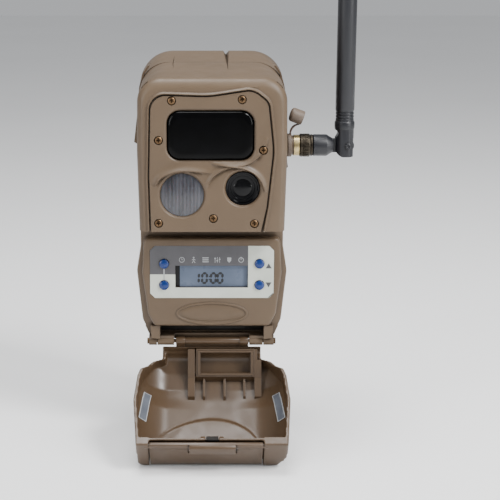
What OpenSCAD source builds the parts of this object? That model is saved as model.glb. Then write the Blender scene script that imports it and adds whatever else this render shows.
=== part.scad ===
// Trail camera with a drop-down front door, D-cell tray and elbow antenna.
// Millimetres. +Z is up and -Y is the front. The origin is the mouth of the tripod thread in the back.

/* [Body] */
// Height from the underside to the middle of the body
body_half = 89; // [87:0.5:91]
// Half width of the hood at its side walls
hood_half = 45.2; // [44.5:0.1:46]
// Distance from the back plane to the front bezel
body_depth = 80; // [79:0.5:81]
// Wall thickness of the moulded shells
wall = 2.6; // [2.2:0.1:2.8]
// Distance from the back plane to the joint between the two shells
parting = 38; // [37:0.5:39]
// Height of the hood's lower front edge
hood_bottom = -13.5; // [-14:0.5:-13]

/* [Door] */
// Angle by which the door is dropped open, from closed
door_open = 127; // [120:1:130]
// Depth of the door bowl
door_depth = 25; // [24:0.5:25]
// Wall thickness of the door
door_wall = 2.2; // [1.8:0.1:2.4]

/* [Antenna] */
// Height of the antenna jack above the tripod thread
jack_z = 33.8; // [32:0.2:36]
// Diameter of the antenna whip
whip_d = 11.8; // [11:0.1:12]
// Height of the whip's tip
whip_top = 194; // [150:1:220]

/* [Batteries] */
// Diameter of a D cell
cell_d = 33; // [32:0.1:33.4]
// Length of a D cell
cell_l = 61.5; // [60:0.1:61.5]

/* [Controls] */
// Diameter of each push button
button_d = 5.8; // [5:0.1:6]
// Height of a button's dome above the panel
button_rise = 2; // [1.5:0.1:2.2]

/* [Hidden] */

$fn = 48;
tan_colour = [0.56, 0.49, 0.41];
dark_tan = [0.45, 0.37, 0.30];
back_wall = 7.5;                 // the main back wall stands this far in front of the back plane
roof_back = 89.6;                // roof height at the back
roof_parting = 84.4;             // roof height where the shells meet
brow = 77.4;                     // roof height at the front
flange_y = -54.6;                // front face of the lower body, which the door closes on
panel_y = -62;                   // front face of the control panel
plate_y = -79.2;                 // front face of the front plate
plate_back = -76.8;
hood_inner_y = -75;
hood_floor = -8;
bay = [[-36.3, -44.4, -90], [36.3, -10.1, 47.4]];   // battery bay, low and high corners
fit = 0.1;                       // radial clearance where one piece seats in another
running = 0.05;                  // radial clearance of a turning fit
hinge_y = -55;
hinge_z = -90.2;
knuckle_r = 2.7;
pin_r = 1.2;
jack_y = -44.6;
elbow_x = 83.9;
whip_x = 82;
boss_r = 6.15;
card_y = -50.15;                  // middle of the memory card
door_top = 76.2;                 // from the hinge to the door's far end
latch_pivot = [-3.2, 74.9];
plate_screws = [[-24.1, 65.8], [17.6, 66.5], [-32, 42.2], [30.5, 36.3], [-32.3, -8.3], [0.7, -5.3],
    [25.5, -8.5]];
shell_screws = [[-34, 70], [34, 70], [-40.2, 20], [40.2, 20], [-40.2, -42], [40.2, -42]];
pir = [-18.1, 8.9];
pir_r = 13.2;
lens = [18.4, 13];
lens_r = 10.4;
window_low = [-27, 30.2];
window_high = [25, 60];
buttons = [[-29.8, -37.8], [-29.8, -51.5], [29.6, -37.8], [29.6, -51.5]];
lcd_low = [-22.8, -53.2];
lcd_high = [22.5, -39.1];
led_x = [for (i = [0:5]) -18.7 + i * 7.36];
led_z = -30.9;
bar_left = -37.9;
bar_right = 30.7;
port_left = -9.8;
port_right = 27.1;

// Outline tools: a corner is [across, up, radius], and its arc takes a few straight chords.
function turn(u, v) = u.x * v.y - u.y * v.x;
function arc_corner(p, before, after, r, n) =
    let (u = (before - p) / norm(before - p), v = (after - p) / norm(after - p),
        half = acos(u * v) / 2, centre = p + (u + v) / norm(u + v) * r / sin(half),
        from = p + u * r / tan(half) - centre, start = atan2(from.y, from.x),
        sweep = (180 - 2 * half) * (turn(u, v) > 0 ? -1 : 1))
    r == 0 ? [p] : [for (i = [0:n]) let (a = start + sweep * i / n) centre + r * [cos(a), sin(a)]];
function rounded(c, n = 4) = [for (i = [0:len(c) - 1])
    let (b = c[(i + len(c) - 1) % len(c)], a = c[(i + 1) % len(c)])
    each arc_corner([c[i].x, c[i].y], [b.x, b.y], [a.x, a.y], c[i].z, n)];
function mirrored(half) = concat(half, [for (i = [len(half) - 1:-1:0]) [-half[i].x, half[i].y, half[i].z]]);
function box_corners(low, high, r) =
    [[low.x, low.y, r], [high.x, low.y, r], [high.x, high.y, r], [low.x, high.y, r]];

// A front-view outline, given as [x, z] points, filled between two distances along Y
module slab(points, back, front) {
    translate([0, back, 0]) rotate([90, 0, 0]) linear_extrude(back - front) polygon(points);
}
// A side-view profile, given as [y, z] points, filled between two distances along X
module prism(points, left, right) {
    translate([left, 0, 0]) rotate([90, 0, 90]) linear_extrude(right - left) polygon(points);
}
module block(low, high) {
    translate(low) cube(high - low);
}
// A rod along Y at [x, z]
module rod_y(at, r, back, front) {
    translate([at.x, back, at.y]) rotate([90, 0, 0]) cylinder(r = r, h = back - front);
}
// A rod along X at [y, z]
module rod_x(at, r, left, right) {
    translate([left, at.x, at.y]) rotate([0, 90, 0]) cylinder(r = r, h = right - left);
}

// Outlines of the shells, each with an inset
function rear_outline(d) = rounded(mirrored([[-39.5 + d, -body_half + d, 6], [-45 + d, -43, 30],
    [-hood_half - 0.4 + d, 40, 40], [-hood_half - 0.2 + d, roof_back + 3 - d, 24 - d]]));
function flange_outline(d) = rounded(mirrored([[-38.6 + d, -88.2 + d, 5], [-43.9 + d, -76, 8],
    [-47.2 + d, -44, 14], [-44.6 + d, -28, 10], [-44.6 + d, 0, 0]]));
function hood_outline(d) = rounded(mirrored([[-44 + d, hood_bottom, 0], [-hood_half - 0.2 + d, 35, 40],
    [-hood_half + 0.6 + d, roof_parting + 1 - d, 14 - d]]));
function plate_outline(d) = rounded([[-37.4 + d, hood_bottom, 0], [-38.2 + d, 20, 60],
    [-37 + d, 69.6 - d, 9], [-2, 68.4 - d, 60], [24, 72.4 - d, 10], [33.6 - d, 65, 8],
    [36.8 - d, 36, 50], [33.2 - d, 1.2, 50], [30 - d, hood_bottom, 0]]);
function panel_outline(d) = rounded(mirrored([[-36.2 + d, -78.6 + d, 3], [-40.2 + d, -70.5, 8],
    [-43.5 + d, -44, 14], [-42.3 + d, -21.5 - d, 3]]));
// Side views of the hood: outside, and the space inside it
hood_side = rounded([[2 - parting, -30, 0], [2 - parting, roof_parting + 0.27, 0], [-70, 80, 20],
    [-body_depth, brow, 3.5], [-body_depth, hood_bottom, 1.5], [flange_y, hood_bottom, 0], [flange_y, -30, 0]]);
hood_space = [[2 - parting, -30], [2 - parting, roof_parting + 0.27 - wall], [-70, 80 - wall],
    [hood_inner_y, 79 - wall], [hood_inner_y, hood_floor + wall],
    [flange_y + wall, hood_floor + wall], [flange_y + wall, -30]];

module hood_solid(profile, d, back) {
    intersection() {
        slab(hood_outline(d), back, -body_depth - 1);
        prism(profile, -60, 60);
    }
}

// ---- casings ----
module strap_rail(x) {
    difference() {
        block([x - 3, -back_wall - 0.2, -62], [x + 3, 0, 62]);
        for (z = [-42, 42]) block([x - 4, -back_wall, z - 14], [x + 4, -2.7, z + 14]);
    }
}
// A side wedge that flares outwards as it goes down and ends in a step
module side_flare(side, reach, low) {
    slab([[side * 44, 76], [side * 45.4, 74], [side * reach, low + 3], [side * 44, low]], -12, -34);
}
module rear_shell() {
    color(tan_colour) {
        difference() {
            intersection() {
                union() {
                    slab(rear_outline(0), -back_wall, -parting + 0.3);
                    side_flare(-1, 48.9, 31);
                    side_flare(1, 48.1, 15);
                }
                prism([[1, -90], [1, 91.2], [-back_wall, roof_back], [-parting, roof_parting],
                    [-parting, -90]], -60, 60);
            }
            intersection() {
                slab(rear_outline(wall), -back_wall - wall, -parting - 1);
                prism([[0, -90], [0, 88.6], [-back_wall, roof_back - wall],
                    [-parting - 1, roof_parting - 0.2 - wall], [-parting - 1, -90]], -60, 60);
            }
            block([bay[0].x, bay[0].y, -91], [bay[1].x, bay[1].y, -80]);
            prism([[0, roof_back - 1], [0, 95], [-50, 95], [-50, roof_parting - 1]], 8.4, 9.4);
            translate([8.9, 0, roof_back + 0.8]) rotate([atan((roof_back - roof_parting) / 30.5), 0, 0])
                rotate([90, 45, 0]) translate([-1.8, -1.8, -5]) cube([3.6, 3.6, 60]);
            for (s = shell_screws) {
                rod_y(s, 1.7, 0, -20);
                rod_y(s, 3, 0, -back_wall - 1.2);
            }
            rod_y([0, 0], 4.3 + fit, 0, -back_wall - 1);
        }
        for (s = shell_screws) difference() {
            rod_y(s, 2.5, -back_wall - wall, -parting + 0.3);
            rod_y(s, 1.7, -back_wall, -parting);
        }
        for (x = [-30, 30]) strap_rail(x);
        difference() {
            rod_y([0, 0], 7, 0, -back_wall - 0.2);
            rod_y([0, 0], 4.3 + fit, 1, -back_wall - 1);
        }
    }
}
module tripod_insert() {
    color("goldenrod") difference() {
        rod_y([0, 0], 4.3, 0, -back_wall - 0.8);
        rod_y([0, 0], 2.6, 1, -back_wall + 0.5);
    }
}
module housing_gasket() {
    color([0.2, 0.18, 0.17]) difference() {
        intersection() {
            slab(rear_outline(0.9), -parting + 0.3, -parting - 0.3);
            block([-50, -40, -88.1], [50, -36, roof_parting - 0.8]);
        }
        slab(rear_outline(2.1), -parting + 1, -parting - 1);
        block([-50, -40, roof_parting - 2.2], [50, -36, roof_parting - 0.9]);
        block([bay[0].x - 1, -50, -91], [bay[1].x + 1, 0, -80]);
    }
}
module hinge_lugs() {
    for (span = [[-39.8, -24], [23.8, 39.3]]) difference() {
        union() {
            rod_x([hinge_y, hinge_z], knuckle_r, span.x, span.y);
            block([span.x, hinge_y - 1.6, hinge_z], [span.y, hinge_y + 3, -86.4]);
        }
        rod_x([hinge_y, hinge_z], pin_r + fit, span.x - 1, span.y + 1);
        if (span.x < 0) block([-34.9, -60, -93.2], [-34.4, -50, -88.6]);
        else block([32.2, -60, -93.2], [32.8, -50, -88.6]);
    }
}
module front_housing() {
    color(tan_colour) {
        difference() {
            union() {
                hood_solid(hood_side, 0, -parting - 0.3);
                slab(flange_outline(0), -parting - 0.3, flange_y);
                for (side = [-1, 1]) slab([for (p = [[32.8, -87.5], [38, -87], [38.6, -80], [38.3, -78.8],
                    [32.8, -78.8]]) [side * p.x, p.y]], flange_y + 0.5, -60);
                rod_x([jack_y, jack_z], boss_r, 43, 50.7);
            }
            hood_solid(hood_space, wall, -parting + 1);
            slab(flange_outline(wall), -parting + 1, flange_y + wall);
            // the recess under the hood that the door's latch bar enters
            difference() {
                block([-41.2, hood_inner_y, -20], [41.2, flange_y, hood_floor]);
                block([-16, hinge_y - 12.5, -11], [17, hinge_y - 10.7, 0]);
            }
            // front plate seat and the openings behind it
            slab(plate_outline(-0.15), plate_back, -body_depth - 1);
            slab(rounded(box_corners(window_low - [1.7, 1.7], window_high + [1.7, 1.7], 9.4)), -70, -78);
            rod_y(pir, pir_r + 1, -70, -78);
            rod_y(lens, lens_r + 1, -70, -78);
            for (s = plate_screws) rod_y(s, 1.35, -70, -78);
            // control panel opening
            slab(rounded(box_corners([-37, -72], [37, -25], 3)), -50, -56);
            // port recess between the hinge cheeks
            prism([[-60.5, -78.6], [-48.7, -78.6], [-46.9, -80.4], [-46.9, -86.2], [-60.5, -86.2]],
                -32.6, 32.8);
            block([-23.6, -60.5, -95], [24.1, -51.5, -86]);
            block([bay[0].x, bay[0].y, -91], [bay[1].x, bay[1].y, -80]);
            rod_x([jack_y, jack_z], 3.4, 30, 60);
            prism([[-30, 84.6], [-30, 90], [-62, 90], [-62, 81.2]], 8.4, 9.4);
            rod_x([hinge_y, hinge_z], 3.3, -23.6, 23.5);
        }
        hinge_lugs();
        for (s = shell_screws) difference() {
            union() {
                rod_y(s, 2.5, -parting - 0.3, -parting - 7);
                rib_end = s.y > 60 ? 41.6 : 44.4;
                block([min(s.x, sign(s.x) * rib_end), -parting - 7, s.y - 0.7],
                    [max(s.x, sign(s.x) * rib_end), -parting - 0.3, s.y + 0.7]);
            }
            rod_y(s, 1.2, -parting, -parting - 6);
        }
    }
}
module rear_screws() {
    color([0.62, 0.6, 0.56]) for (s = shell_screws) {
        difference() {
            rod_y(s, 2.8, -back_wall + 0.8, -back_wall - 1.2);
            block([s.x - 2, -back_wall, s.y - 0.4], [s.x + 2, 0, s.y + 0.4]);
        }
        rod_y(s, 1.2, -back_wall - 1.2, -parting - 5.5);
    }
}
module battery_chamber() {
    color([0.23, 0.22, 0.21]) {
        difference() {
            block([bay[0].x - 1.4, bay[0].y - 1.4, -79], [bay[1].x + 1.4, bay[1].y, bay[1].z + 1.6]);
            block([bay[0].x, bay[0].y, -87], [bay[1].x, bay[1].y + 1, bay[1].z]);
        }
        for (x = [-31, 31], z = [-55, 38]) rod_y([x, z], 2.5, -45.7, -46.8);
    }
}

// ---- front ----
module brow_ridge(centre, r, from, to) {
    function along(i, out) = let (a = from + (to - from) * i / 12) centre + (r + out) * [cos(a), sin(a)];
    slab([for (i = [0:12]) along(i, 3.4 * sin(15 * i)), for (i = [12:-1:0]) along(i, -0.05)],
        plate_y + 0.5, plate_y - 0.6);
}
module front_plate() {
    color(tan_colour) {
        difference() {
            slab(plate_outline(0.1), plate_back, plate_y);
            slab(rounded(box_corners(window_low - [fit, fit], window_high + [fit, fit], 7.9)), -70, -90);
            for (hole = [[pir, pir_r], [lens, lens_r]]) {
                rod_y(hole[0], hole[1], -70, -90);
                translate([hole[0].x, plate_back + 0.4, hole[0].y]) rotate([90, 0, 0])
                    cylinder(r1 = hole[1], r2 = hole[1] + 1.4, h = plate_back - plate_y + 0.01);
            }
            for (s = plate_screws) {
                rod_y(s, 1.35, -70, -90);
                rod_y(s, 2.65, plate_y + 1.1, -90);
            }
        }
        brow_ridge(pir, pir_r + 1.9, 40, 160);
        brow_ridge(lens, lens_r + 1.9, 15, 140);
    }
}
module front_plate_screws() {
    color([0.5, 0.36, 0.22]) for (s = plate_screws) difference() {
        union() {
            rod_y(s, 2.4, plate_y + 1.1, plate_y - 0.1);
            rod_y(s, 1.25, -75.2, plate_y + 1.1);
        }
        block([s.x - 1.5, plate_y - 1, s.y - 0.3], [s.x + 1.5, plate_y + 0.6, s.y + 0.3]);
        block([s.x - 0.3, plate_y - 1, s.y - 1.5], [s.x + 0.3, plate_y + 0.6, s.y + 1.5]);
    }
}
module ir_window() {
    color([0.03, 0.03, 0.04]) {
        slab(rounded(box_corners(window_low, window_high, 7.8)), plate_back, -79.3);
        slab(rounded(box_corners(window_low + [0.8, 0.8], window_high - [0.8, 0.8], 7)), -79.3, -79.8);
        slab(rounded(box_corners(window_low - [1.5, 1.5], window_high + [1.5, 1.5], 9.2)),
            hood_inner_y, plate_back);
    }
}
module ir_led_board() {
    color("darkgreen") {
        block([-27, -69, 30], [25, -67.4, 60.2]);
        for (x = [-25.5, 23.5], z = [31.5, 58.7]) rod_y([x, z], 1.6, -69, hood_inner_y);
    }
}
module ir_leds() {
    color([0.15, 0.1, 0.16]) for (i = [0:6], j = [0:3]) let (at = [-22.2 + 7.1 * i, 34.4 + 7.1 * j]) {
        rod_y(at, 2.5, -69, -72);
        translate([at.x, -72, at.y]) sphere(r = 2.5, $fn = 24);
    }
}
module pir_lens() {
    color([0.75, 0.75, 0.78]) difference() {
        union() {
            rod_y(pir, pir_r + 0.9, hood_inner_y, plate_back);
            intersection() {
                rod_y(pir, pir_r - 0.1, plate_back + 0.1, -79);
                translate([pir.x, -33.2, pir.y]) sphere(r = 45.2, $fn = 96);
            }
        }
        translate([pir.x, -33.2, pir.y]) sphere(r = 43.6, $fn = 96);
    }
}
module pir_sensor() {
    color("silver") {
        rod_y(pir, 4.6, -58.2, -62.4);
        block([pir.x - 10, -58.2, pir.y - 9], [pir.x + 10, -56.8, pir.y + 9]);
        for (z = [-7, 7]) block([pir.x - 3, -56.8, pir.y + z - 1.5], [pir.x + 3, -48.4, pir.y + z + 1.5]);
    }
}
module lens_window() {
    color([0.1, 0.1, 0.12]) rod_y(lens, lens_r + 0.9, hood_inner_y - 0.2, plate_back);
}
module lens_barrel() {
    color([0.08, 0.08, 0.08]) difference() {
        rod_y(lens, 7, -62, -74);
        rod_y(lens, 4.6, -72.5, -75);
    }
}
module lens_holder() {
    color([0.12, 0.12, 0.12]) difference() {
        union() {
            block([lens.x - 9, -62, lens.y - 9], [lens.x + 9, -57.5, lens.y + 9]);
            rod_y(lens, 8.4, -62, -66);
        }
        rod_y(lens, 7 + fit, -61.9, -67);
        rod_y(lens, 5, -50, -63);
    }
}
module image_sensor_board() {
    color("darkgreen") {
        block([lens.x - 12, -57.5, lens.y - 11], [lens.x + 12, -56.3, lens.y + 11]);
        block([lens.x - 3.6, -58.4, lens.y - 3.2], [lens.x + 3.6, -57.5, lens.y + 3.2]);
        block([lens.x - 8, -56.3, lens.y - 10], [lens.x + 8, -51.2, lens.y - 7]);
    }
}

// ---- control panel ----
module label_shape(grow) {
    polygon([for (p = [[35.5, 0], [38.5, -3], [38.5, -30.5], [35.5, -33.5]]) [p.x + grow, p.y - 26.4],
        for (p = [[35.5, -33.5], [38.5, -30.5], [38.5, -3], [35.5, 0]]) [-p.x - grow, p.y - 26.4]]);
}
module control_panel() {
    color(dark_tan) difference() {
        union() {
            slab(panel_outline(0), flange_y, panel_y);
            slab([for (i = [0:35]) [22.6 * cos(10 * i), -70 + 7.6 * sin(10 * i)]], panel_y, panel_y - 0.6);
        }
        slab(panel_outline(2.2), flange_y + 1, panel_y + 2.2);
        translate([0, panel_y + 0.3, 0]) rotate([90, 0, 0]) linear_extrude(2) label_shape(0.15);
        slab(rounded(box_corners(lcd_low, lcd_high, 0)), -50, -70);
        for (b = buttons) rod_y(b, button_d / 2 + 0.15, -50, -70);
        for (x = led_x) rod_y([x, led_z], 1.1, -50, -70);
    }
}
module panel_label() {
    color([0.85, 0.86, 0.82]) difference() {
        translate([0, panel_y + 0.3, 0]) rotate([90, 0, 0]) linear_extrude(0.35) label_shape(0);
        slab(rounded(box_corners(lcd_low, lcd_high, 0)), -50, -70);
        for (b = buttons) rod_y(b, button_d / 2 + 0.25, -50, -70);
    }
}
module lcd_window() {
    color([0.6, 0.66, 0.75]) block([lcd_low.x + 0.1, panel_y + 2, lcd_low.y + 0.1],
        [lcd_high.x - 0.1, panel_y + 2.8, lcd_high.y - 0.1]);
}
module lcd_module() {
    color([0.35, 0.4, 0.45]) {
        block([lcd_low.x - 1.5, panel_y + 2.9, lcd_low.y - 1.5],
            [lcd_high.x + 1.5, panel_y + 6, lcd_high.y + 1.5]);
        for (z = [lcd_low.y, lcd_high.y]) block([-20, panel_y + 6, z - 1], [20, -54.4, z + 1]);
    }
}
module button_board() {
    color("darkgreen") {
        block([-35, -54.4, -58.5], [35, -53, -27]);
        for (b = buttons) block([b.x - 3, -56.4, b.y - 3], [b.x + 3, -54.4, b.y + 3]);
        for (x = [-29, 29], z = [-56.5, -29]) rod_y([x, z], 1.5, -48.4, -53);
    }
}
module status_leds() {
    color([0.9, 0.9, 0.9]) for (x = led_x) rod_y([x, led_z], 1, -54.4, panel_y + 0.35);
}
module push_button(at) {
    color([0.1, 0.3, 0.75]) {
        rod_y(at, button_d / 2, panel_y + 2.4, panel_y - button_rise + 0.9);
        intersection() {
            rod_y(at, button_d / 2, panel_y - button_rise + 0.9, panel_y - button_rise);
            translate([at.x, panel_y - button_rise + 5.2, at.y]) sphere(r = 5.2, $fn = 48);
        }
        rod_y(at, button_d / 2 + 0.7, panel_y + 3.2, panel_y + 2.4);
        rod_y(at, 1.5, -57.8, panel_y + 3.2);
    }
}
module mode_button() { push_button(buttons[0]); }
module more_button() { push_button(buttons[1]); }
module up_button() { push_button(buttons[2]); }
module down_button() { push_button(buttons[3]); }

// ---- electronics ----
module port_panel() {
    color([0.2, 0.19, 0.18]) difference() {
        prism([[-51.9, -78.5], [-48.8, -78.5], [-46.9, -80.5], [-46.9, -85.5], [-46, -85.5], [-46, -80.1],
            [-48.4, -77.2], [-51.9, -77.2]], -32.4, 32.6);
        block([-4, card_y - 1.2, -80], [22, card_y + 1.2, -76]);
    }
}
module sd_socket() {
    color("silver") difference() {
        block([-5, -51.8, -77], [23, -48.5, -50]);
        block([-4, card_y - 1.2, -78], [22, card_y + 1.2, -51]);
    }
}
module sd_card() {
    color([0.1, 0.15, 0.3]) block([-3, card_y - 1.05, -83.2], [21, card_y + 1.05, -51.2]);
}
module main_board() {
    color("darkgreen") difference() {
        block([-36, -48.4, -76], [36, -46.8, 44]);
        for (x = [-31, 31], z = [-55, 38]) rod_y([x, z], 1.2, -40, -50);
    }
}
module processor_shield() {
    color("silver") block([-14, -50.8, -16], [10, -48.4, 6]);
}
module modem_module() {
    color([0.7, 0.7, 0.72]) block([-4, -51.2, 16], [26, -48.4, 42]);
}
module sim_card() {
    color([0.9, 0.88, 0.8]) block([-28, -49.4, 20], [-16, -48.4, 35]);
}
module coax_lead() {
    color([0.15, 0.15, 0.15]) {
        rod_x([-49.8, jack_z], 1, 26, 38);
        translate([38, -49.8, jack_z]) sphere(r = 1, $fn = 24);
        rod_y([38, jack_z], 1, -46.9, -49.8);
        translate([38, -46.9, jack_z]) sphere(r = 1, $fn = 24);
        rod_x([-46.9, jack_z], 1, 38, 39);
    }
}
module antenna_jack() {
    color([0.83, 0.74, 0.5]) {
        difference() {
            rod_x([jack_y, jack_z], 3.2, 39, 60);
            rod_x([jack_y, jack_z], 2.3, 56, 61);
        }
        difference() {
            rod_x([jack_y, jack_z], 6.5, 50.7, 54);
            rod_x([jack_y, jack_z], 3.2, 50, 55);
        }
    }
}

// ---- battery tray ----
module battery_tray() {
    color([0.2, 0.19, 0.18]) {
        difference() {
            block([-36, -44, -body_half], [36, -10.5, -86]);
            block([-14, -36, -body_half - 1], [14, -18, -body_half + 1.6]);
        }
        block([-36, -43.5, 43.4], [36, -11, 45.4]);
        for (x = [-35.3, 35.3]) block([x - 0.7, -36, -86], [x + 0.7, -18, 43.4]);
        block([-0.6, -33, -86], [0.6, -21, 42.1]);
    }
}
module battery_cells() {
    cell_y = -27.2;
    for (x = [-17.5, 17.5], z = [-82.6, -82.6 + cell_l + 0.4]) color([0.15, 0.15, 0.16])
        translate([x, cell_y, z]) {
            cylinder(d = cell_d, h = cell_l - 2);
            translate([0, 0, cell_l - 2]) cylinder(d = 9.5, h = 2);
        }
}
module battery_contacts() {
    color([0.8, 0.8, 0.78]) {
        for (x = [-17.5, 17.5]) translate([x, -27.2, -86]) cylinder(d = 12, h = 3.3);
        block([-30, -32, 42.2], [30, -22, 43.3]);
    }
}

// ---- door: modelled closed, with the hinge axis as its origin, then swung open ----
module swung() {
    translate([0, hinge_y, hinge_z]) rotate([door_open, 0, 0]) children();
}
function door_outline(d) = rounded(mirrored([[-31.3 + d, -6, 0], [-31.3 + d, 8.6, 0], [-38.6 + d, 10.6, 9],
    [-46.4 + d, 24, 18], [-48.5 + d, 44, 20], [-47.2 + d, 60, 20], [-46 + d, door_top - d, d == 0 ? 0.8 : 0]]));
function door_chin(d) = rounded([[1, 1 + d, 0], [-12.5, 2.2 + d, 7], [-22 + d, 13.5 + d, 10],
    [-door_depth + d, 30, 14], [-door_depth + d, 90, 0], [1, 90, 0]]);
function door_section(d) = rounded(mirrored([[-48.6 + d, 1, 0], [-47.5 + d, -9.5 + d / 2, 10],
    [-36.7 + d, -door_depth + d, 9]]));
module bowl(d) {
    intersection() {
        slab(door_outline(d), 1, -door_depth - 1);
        prism(door_chin(d), -60, 60);
        translate([0, 0, -10]) linear_extrude(100) polygon(door_section(d));
    }
}
module door_arm(left, right) {
    difference() {
        union() {
            rod_x([0, 0], knuckle_r, left, right);
            prism([[0, -knuckle_r + 0.1], [-9, -0.4], [-9, 3.2], [-2, 2.4], [0, 2.4]], left, right);
        }
        rod_x([0, 0], pin_r + running, left - 1, right + 1);
    }
}
module door_closed_shape() {
    difference() {
        union() {
            bowl(0);
            // the far end stays square, and its ends are the ears beside the latch bar
            intersection() {
                slab(door_outline(0), 0, -door_depth);
                block([-60, -door_depth, 70.5], [60, 0, door_top]);
                translate([0, 0, 60]) linear_extrude(30)
                    polygon(rounded(mirrored([[-46, 1, 0], [-45.4, -door_depth, 4]])));
            }
        }
        bowl(door_wall);
        // the rim steps forward round the control panel's lower corners
        prism([[2, 3.4], [-7.6, 3.4], [-7.6, 14], [0, 21], [2, 21]], -60, 60);
        block([-60, -0.001, -10], [60, 5, 100]);
        rod_x([0, 0], 4.2, -60, 60);
        // seat of the latch bar
        prism([[1, 73.3], [0.5, 72.8], [-26, 70.6], [-26, 80], [1, 80]], bar_left - 0.4, bar_right + 0.4);
        // slanted corner of the right ear
        translate([0, 0, 66]) linear_extrude(20) polygon([[39.6, -26], [47.2, -13], [52, -13], [52, -26]]);
    }
    // inner half of the far wall, under the latch bar, and the ears beside it
    prism([[0, 72.7], [-24, 70.7], [-24, 68.5], [0, 71.3]], bar_left - 1, bar_right + 1);
    for (ear = [[-44.2, bar_left - 0.4], [bar_right + 0.4, 44.2]])
        block([ear.x, -20, 70.5], [ear.y, 0, door_top - 0.4]);
    prism([[-1.5, -1.7], [-9, 0.8], [-9, 3.2], [-5.5, 2.6], [-2, 1.4]], -17.2, 17.7);
    for (x = [-5.4, 5.6]) prism([[-0.6, 71.6], [-0.6, 69.4], [-7.6, 69.2], [-11, 66], [-22.6, 66], [-22.6, 69.5],
        [-11, 70.2]], x - 1.3, x + 1.3);
    for (x = [-22.7, 17.6]) door_arm(x, x + 5.6);
    difference() {
        rod_x([0, 0], knuckle_r - 0.4, -17.2, 17.7);
        rod_x([0, 0], pin_r + running, -20, 20);
    }
}
module door_shell() {
    color(dark_tan) swung() difference() {
        door_closed_shape();
        block([-4, -3.6, 66], [4.2, 1, 74]);
        rod_x(latch_pivot, 1.6 + running, bar_left - 3.4, bar_right + 3.4);
    }
}
module door_port_cover() {
    // a frame on posts that covers the port recess when the door is closed
    color(dark_tan) swung() {
        difference() {
            union() {
                prism([[-1.9, 5.2], [-14.6, 17.9], [-16.2, 16.3], [-3.5, 3.6]], port_left, port_right);
                for (x = [-15.2, 27.1]) prism([[-3.2, 4], [-2.2, 5.1], [-15.1, 18.2], [-19.4, 29.5], [-22.3, 31],
                    [-21.6, 26.5], [-19.2, 15.9], [-12.3, 5.6], [-5, 4.1]], x, x + 4.4);
            }
            prism([[0, 8.6], [-11.2, 18.2], [-16, 12.6], [-6, 2.8]], port_left + 2.7, port_right - 2.7);
            block([port_right + 1.9, -30, 0], [40, 0, 9.9]);
        }
        for (x = [-5.6, 7.4, 20]) prism([[-15.2, 15.9], [-16.2, 16.2], [-20, 29], [-22.4, 30.6], [-21.6, 26.5],
            [-19.2, 15.9]], x, x + 1.4);
        prism([[-14.6, 17.8], [-19.5, 18.2], [-19.1, 15.9], [-16, 14.9]], -10.8, 27.2);
    }
}
module port_gasket() {
    color([0.2, 0.17, 0.15]) swung() difference() {
        prism([[-2.6, 5.9], [-13.9, 17.2], [-13.5, 17.6], [-2.2, 6.3]], port_left + 1, port_right - 1);
        prism([[-3.4, 5], [-3.4, 8.1], [-11.7, 16.4], [-16, 16.4]], port_left + 2.2, port_right - 2.2);
        prism([[0, 7.7], [-3.3, 7], [-12.8, 16.5], [-12, 19]], port_left + 2.2, port_right - 2.2);
    }
}
module door_stickers() {
    color([0.62, 0.66, 0.7]) swung() for (side = [-46, 46]) intersection() {
        block([side - 4, -13, 32], [side + 4, -4.5, 54]);
        difference() {
            bowl(door_wall + 0.01);
            bowl(door_wall + 0.25);
        }
    }
}
module latch_bar() {
    color(dark_tan) swung() {
        prism(rounded([[-0.9, 73.8, 0], [-0.9, 76.3, 0.4], [-24.6, 76.1, 1.6], [-24.6, 73, 0.4],
            [-22, 73.4, 0]]), bar_left, bar_right);
        prism([[-0.9, 76.2], [-1.4, 78.2], [-8, 78.3], [-9, 77.4], [-9, 76]], -13.9, 14.3);
        rod_x(latch_pivot, 1.6, bar_left - 3.2, bar_right + 3.2);
    }
}
module latch_spring() {
    color("silver") swung()
        prism([[-6, 72.25], [-7, 72.5], [-16, 72.35], [-16, 72.1], [-7, 72.2]], 10, 22);
}
module hinge_pin() {
    color([0.5, 0.42, 0.34]) {
        rod_x([hinge_y, hinge_z], pin_r, -40.4, 39.9);
        for (x = [-41, 39.3]) rod_x([hinge_y, hinge_z], 1.9, x, x + 1.2);
    }
}

// ---- antenna ----
module coupling_nut() {
    color([0.42, 0.4, 0.36]) difference() {
        union() {
            rod_x([jack_y, jack_z], 7.2, 54.2, 60.7);
            rod_x([jack_y, jack_z], 6.8, 60.7, 62.3);
        }
        rod_x([jack_y, jack_z], 3.2 + running, 50, 60.4);
        rod_x([jack_y, jack_z], 3.5, 60, 70);
        for (a = [0:15:345]) translate([57.6, jack_y, jack_z]) rotate([a, 0, 0])
            translate([-2.4, 7, -0.25]) cube([4.8, 1, 0.5]);
    }
}
module antenna_elbow() {
    color([0.12, 0.12, 0.13]) difference() {
        union() {
            rod_x([jack_y, jack_z], 2.2, 56.5, 64);
            rod_x([jack_y, jack_z], 6.8, 62.5, 71);
            translate([71, jack_y, jack_z]) rotate([0, 90, 0]) cylinder(r1 = 6.8, r2 = 4.2, h = 4);
            block([73, jack_y - 2, jack_z - 4.2], [elbow_x, jack_y + 2, jack_z + 4.2]);
            rod_y([elbow_x, jack_z], 4.2, jack_y + 2, jack_y - 2);
        }
        rod_y([elbow_x, jack_z], 1.5 + running, -30, -50);
    }
}
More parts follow.
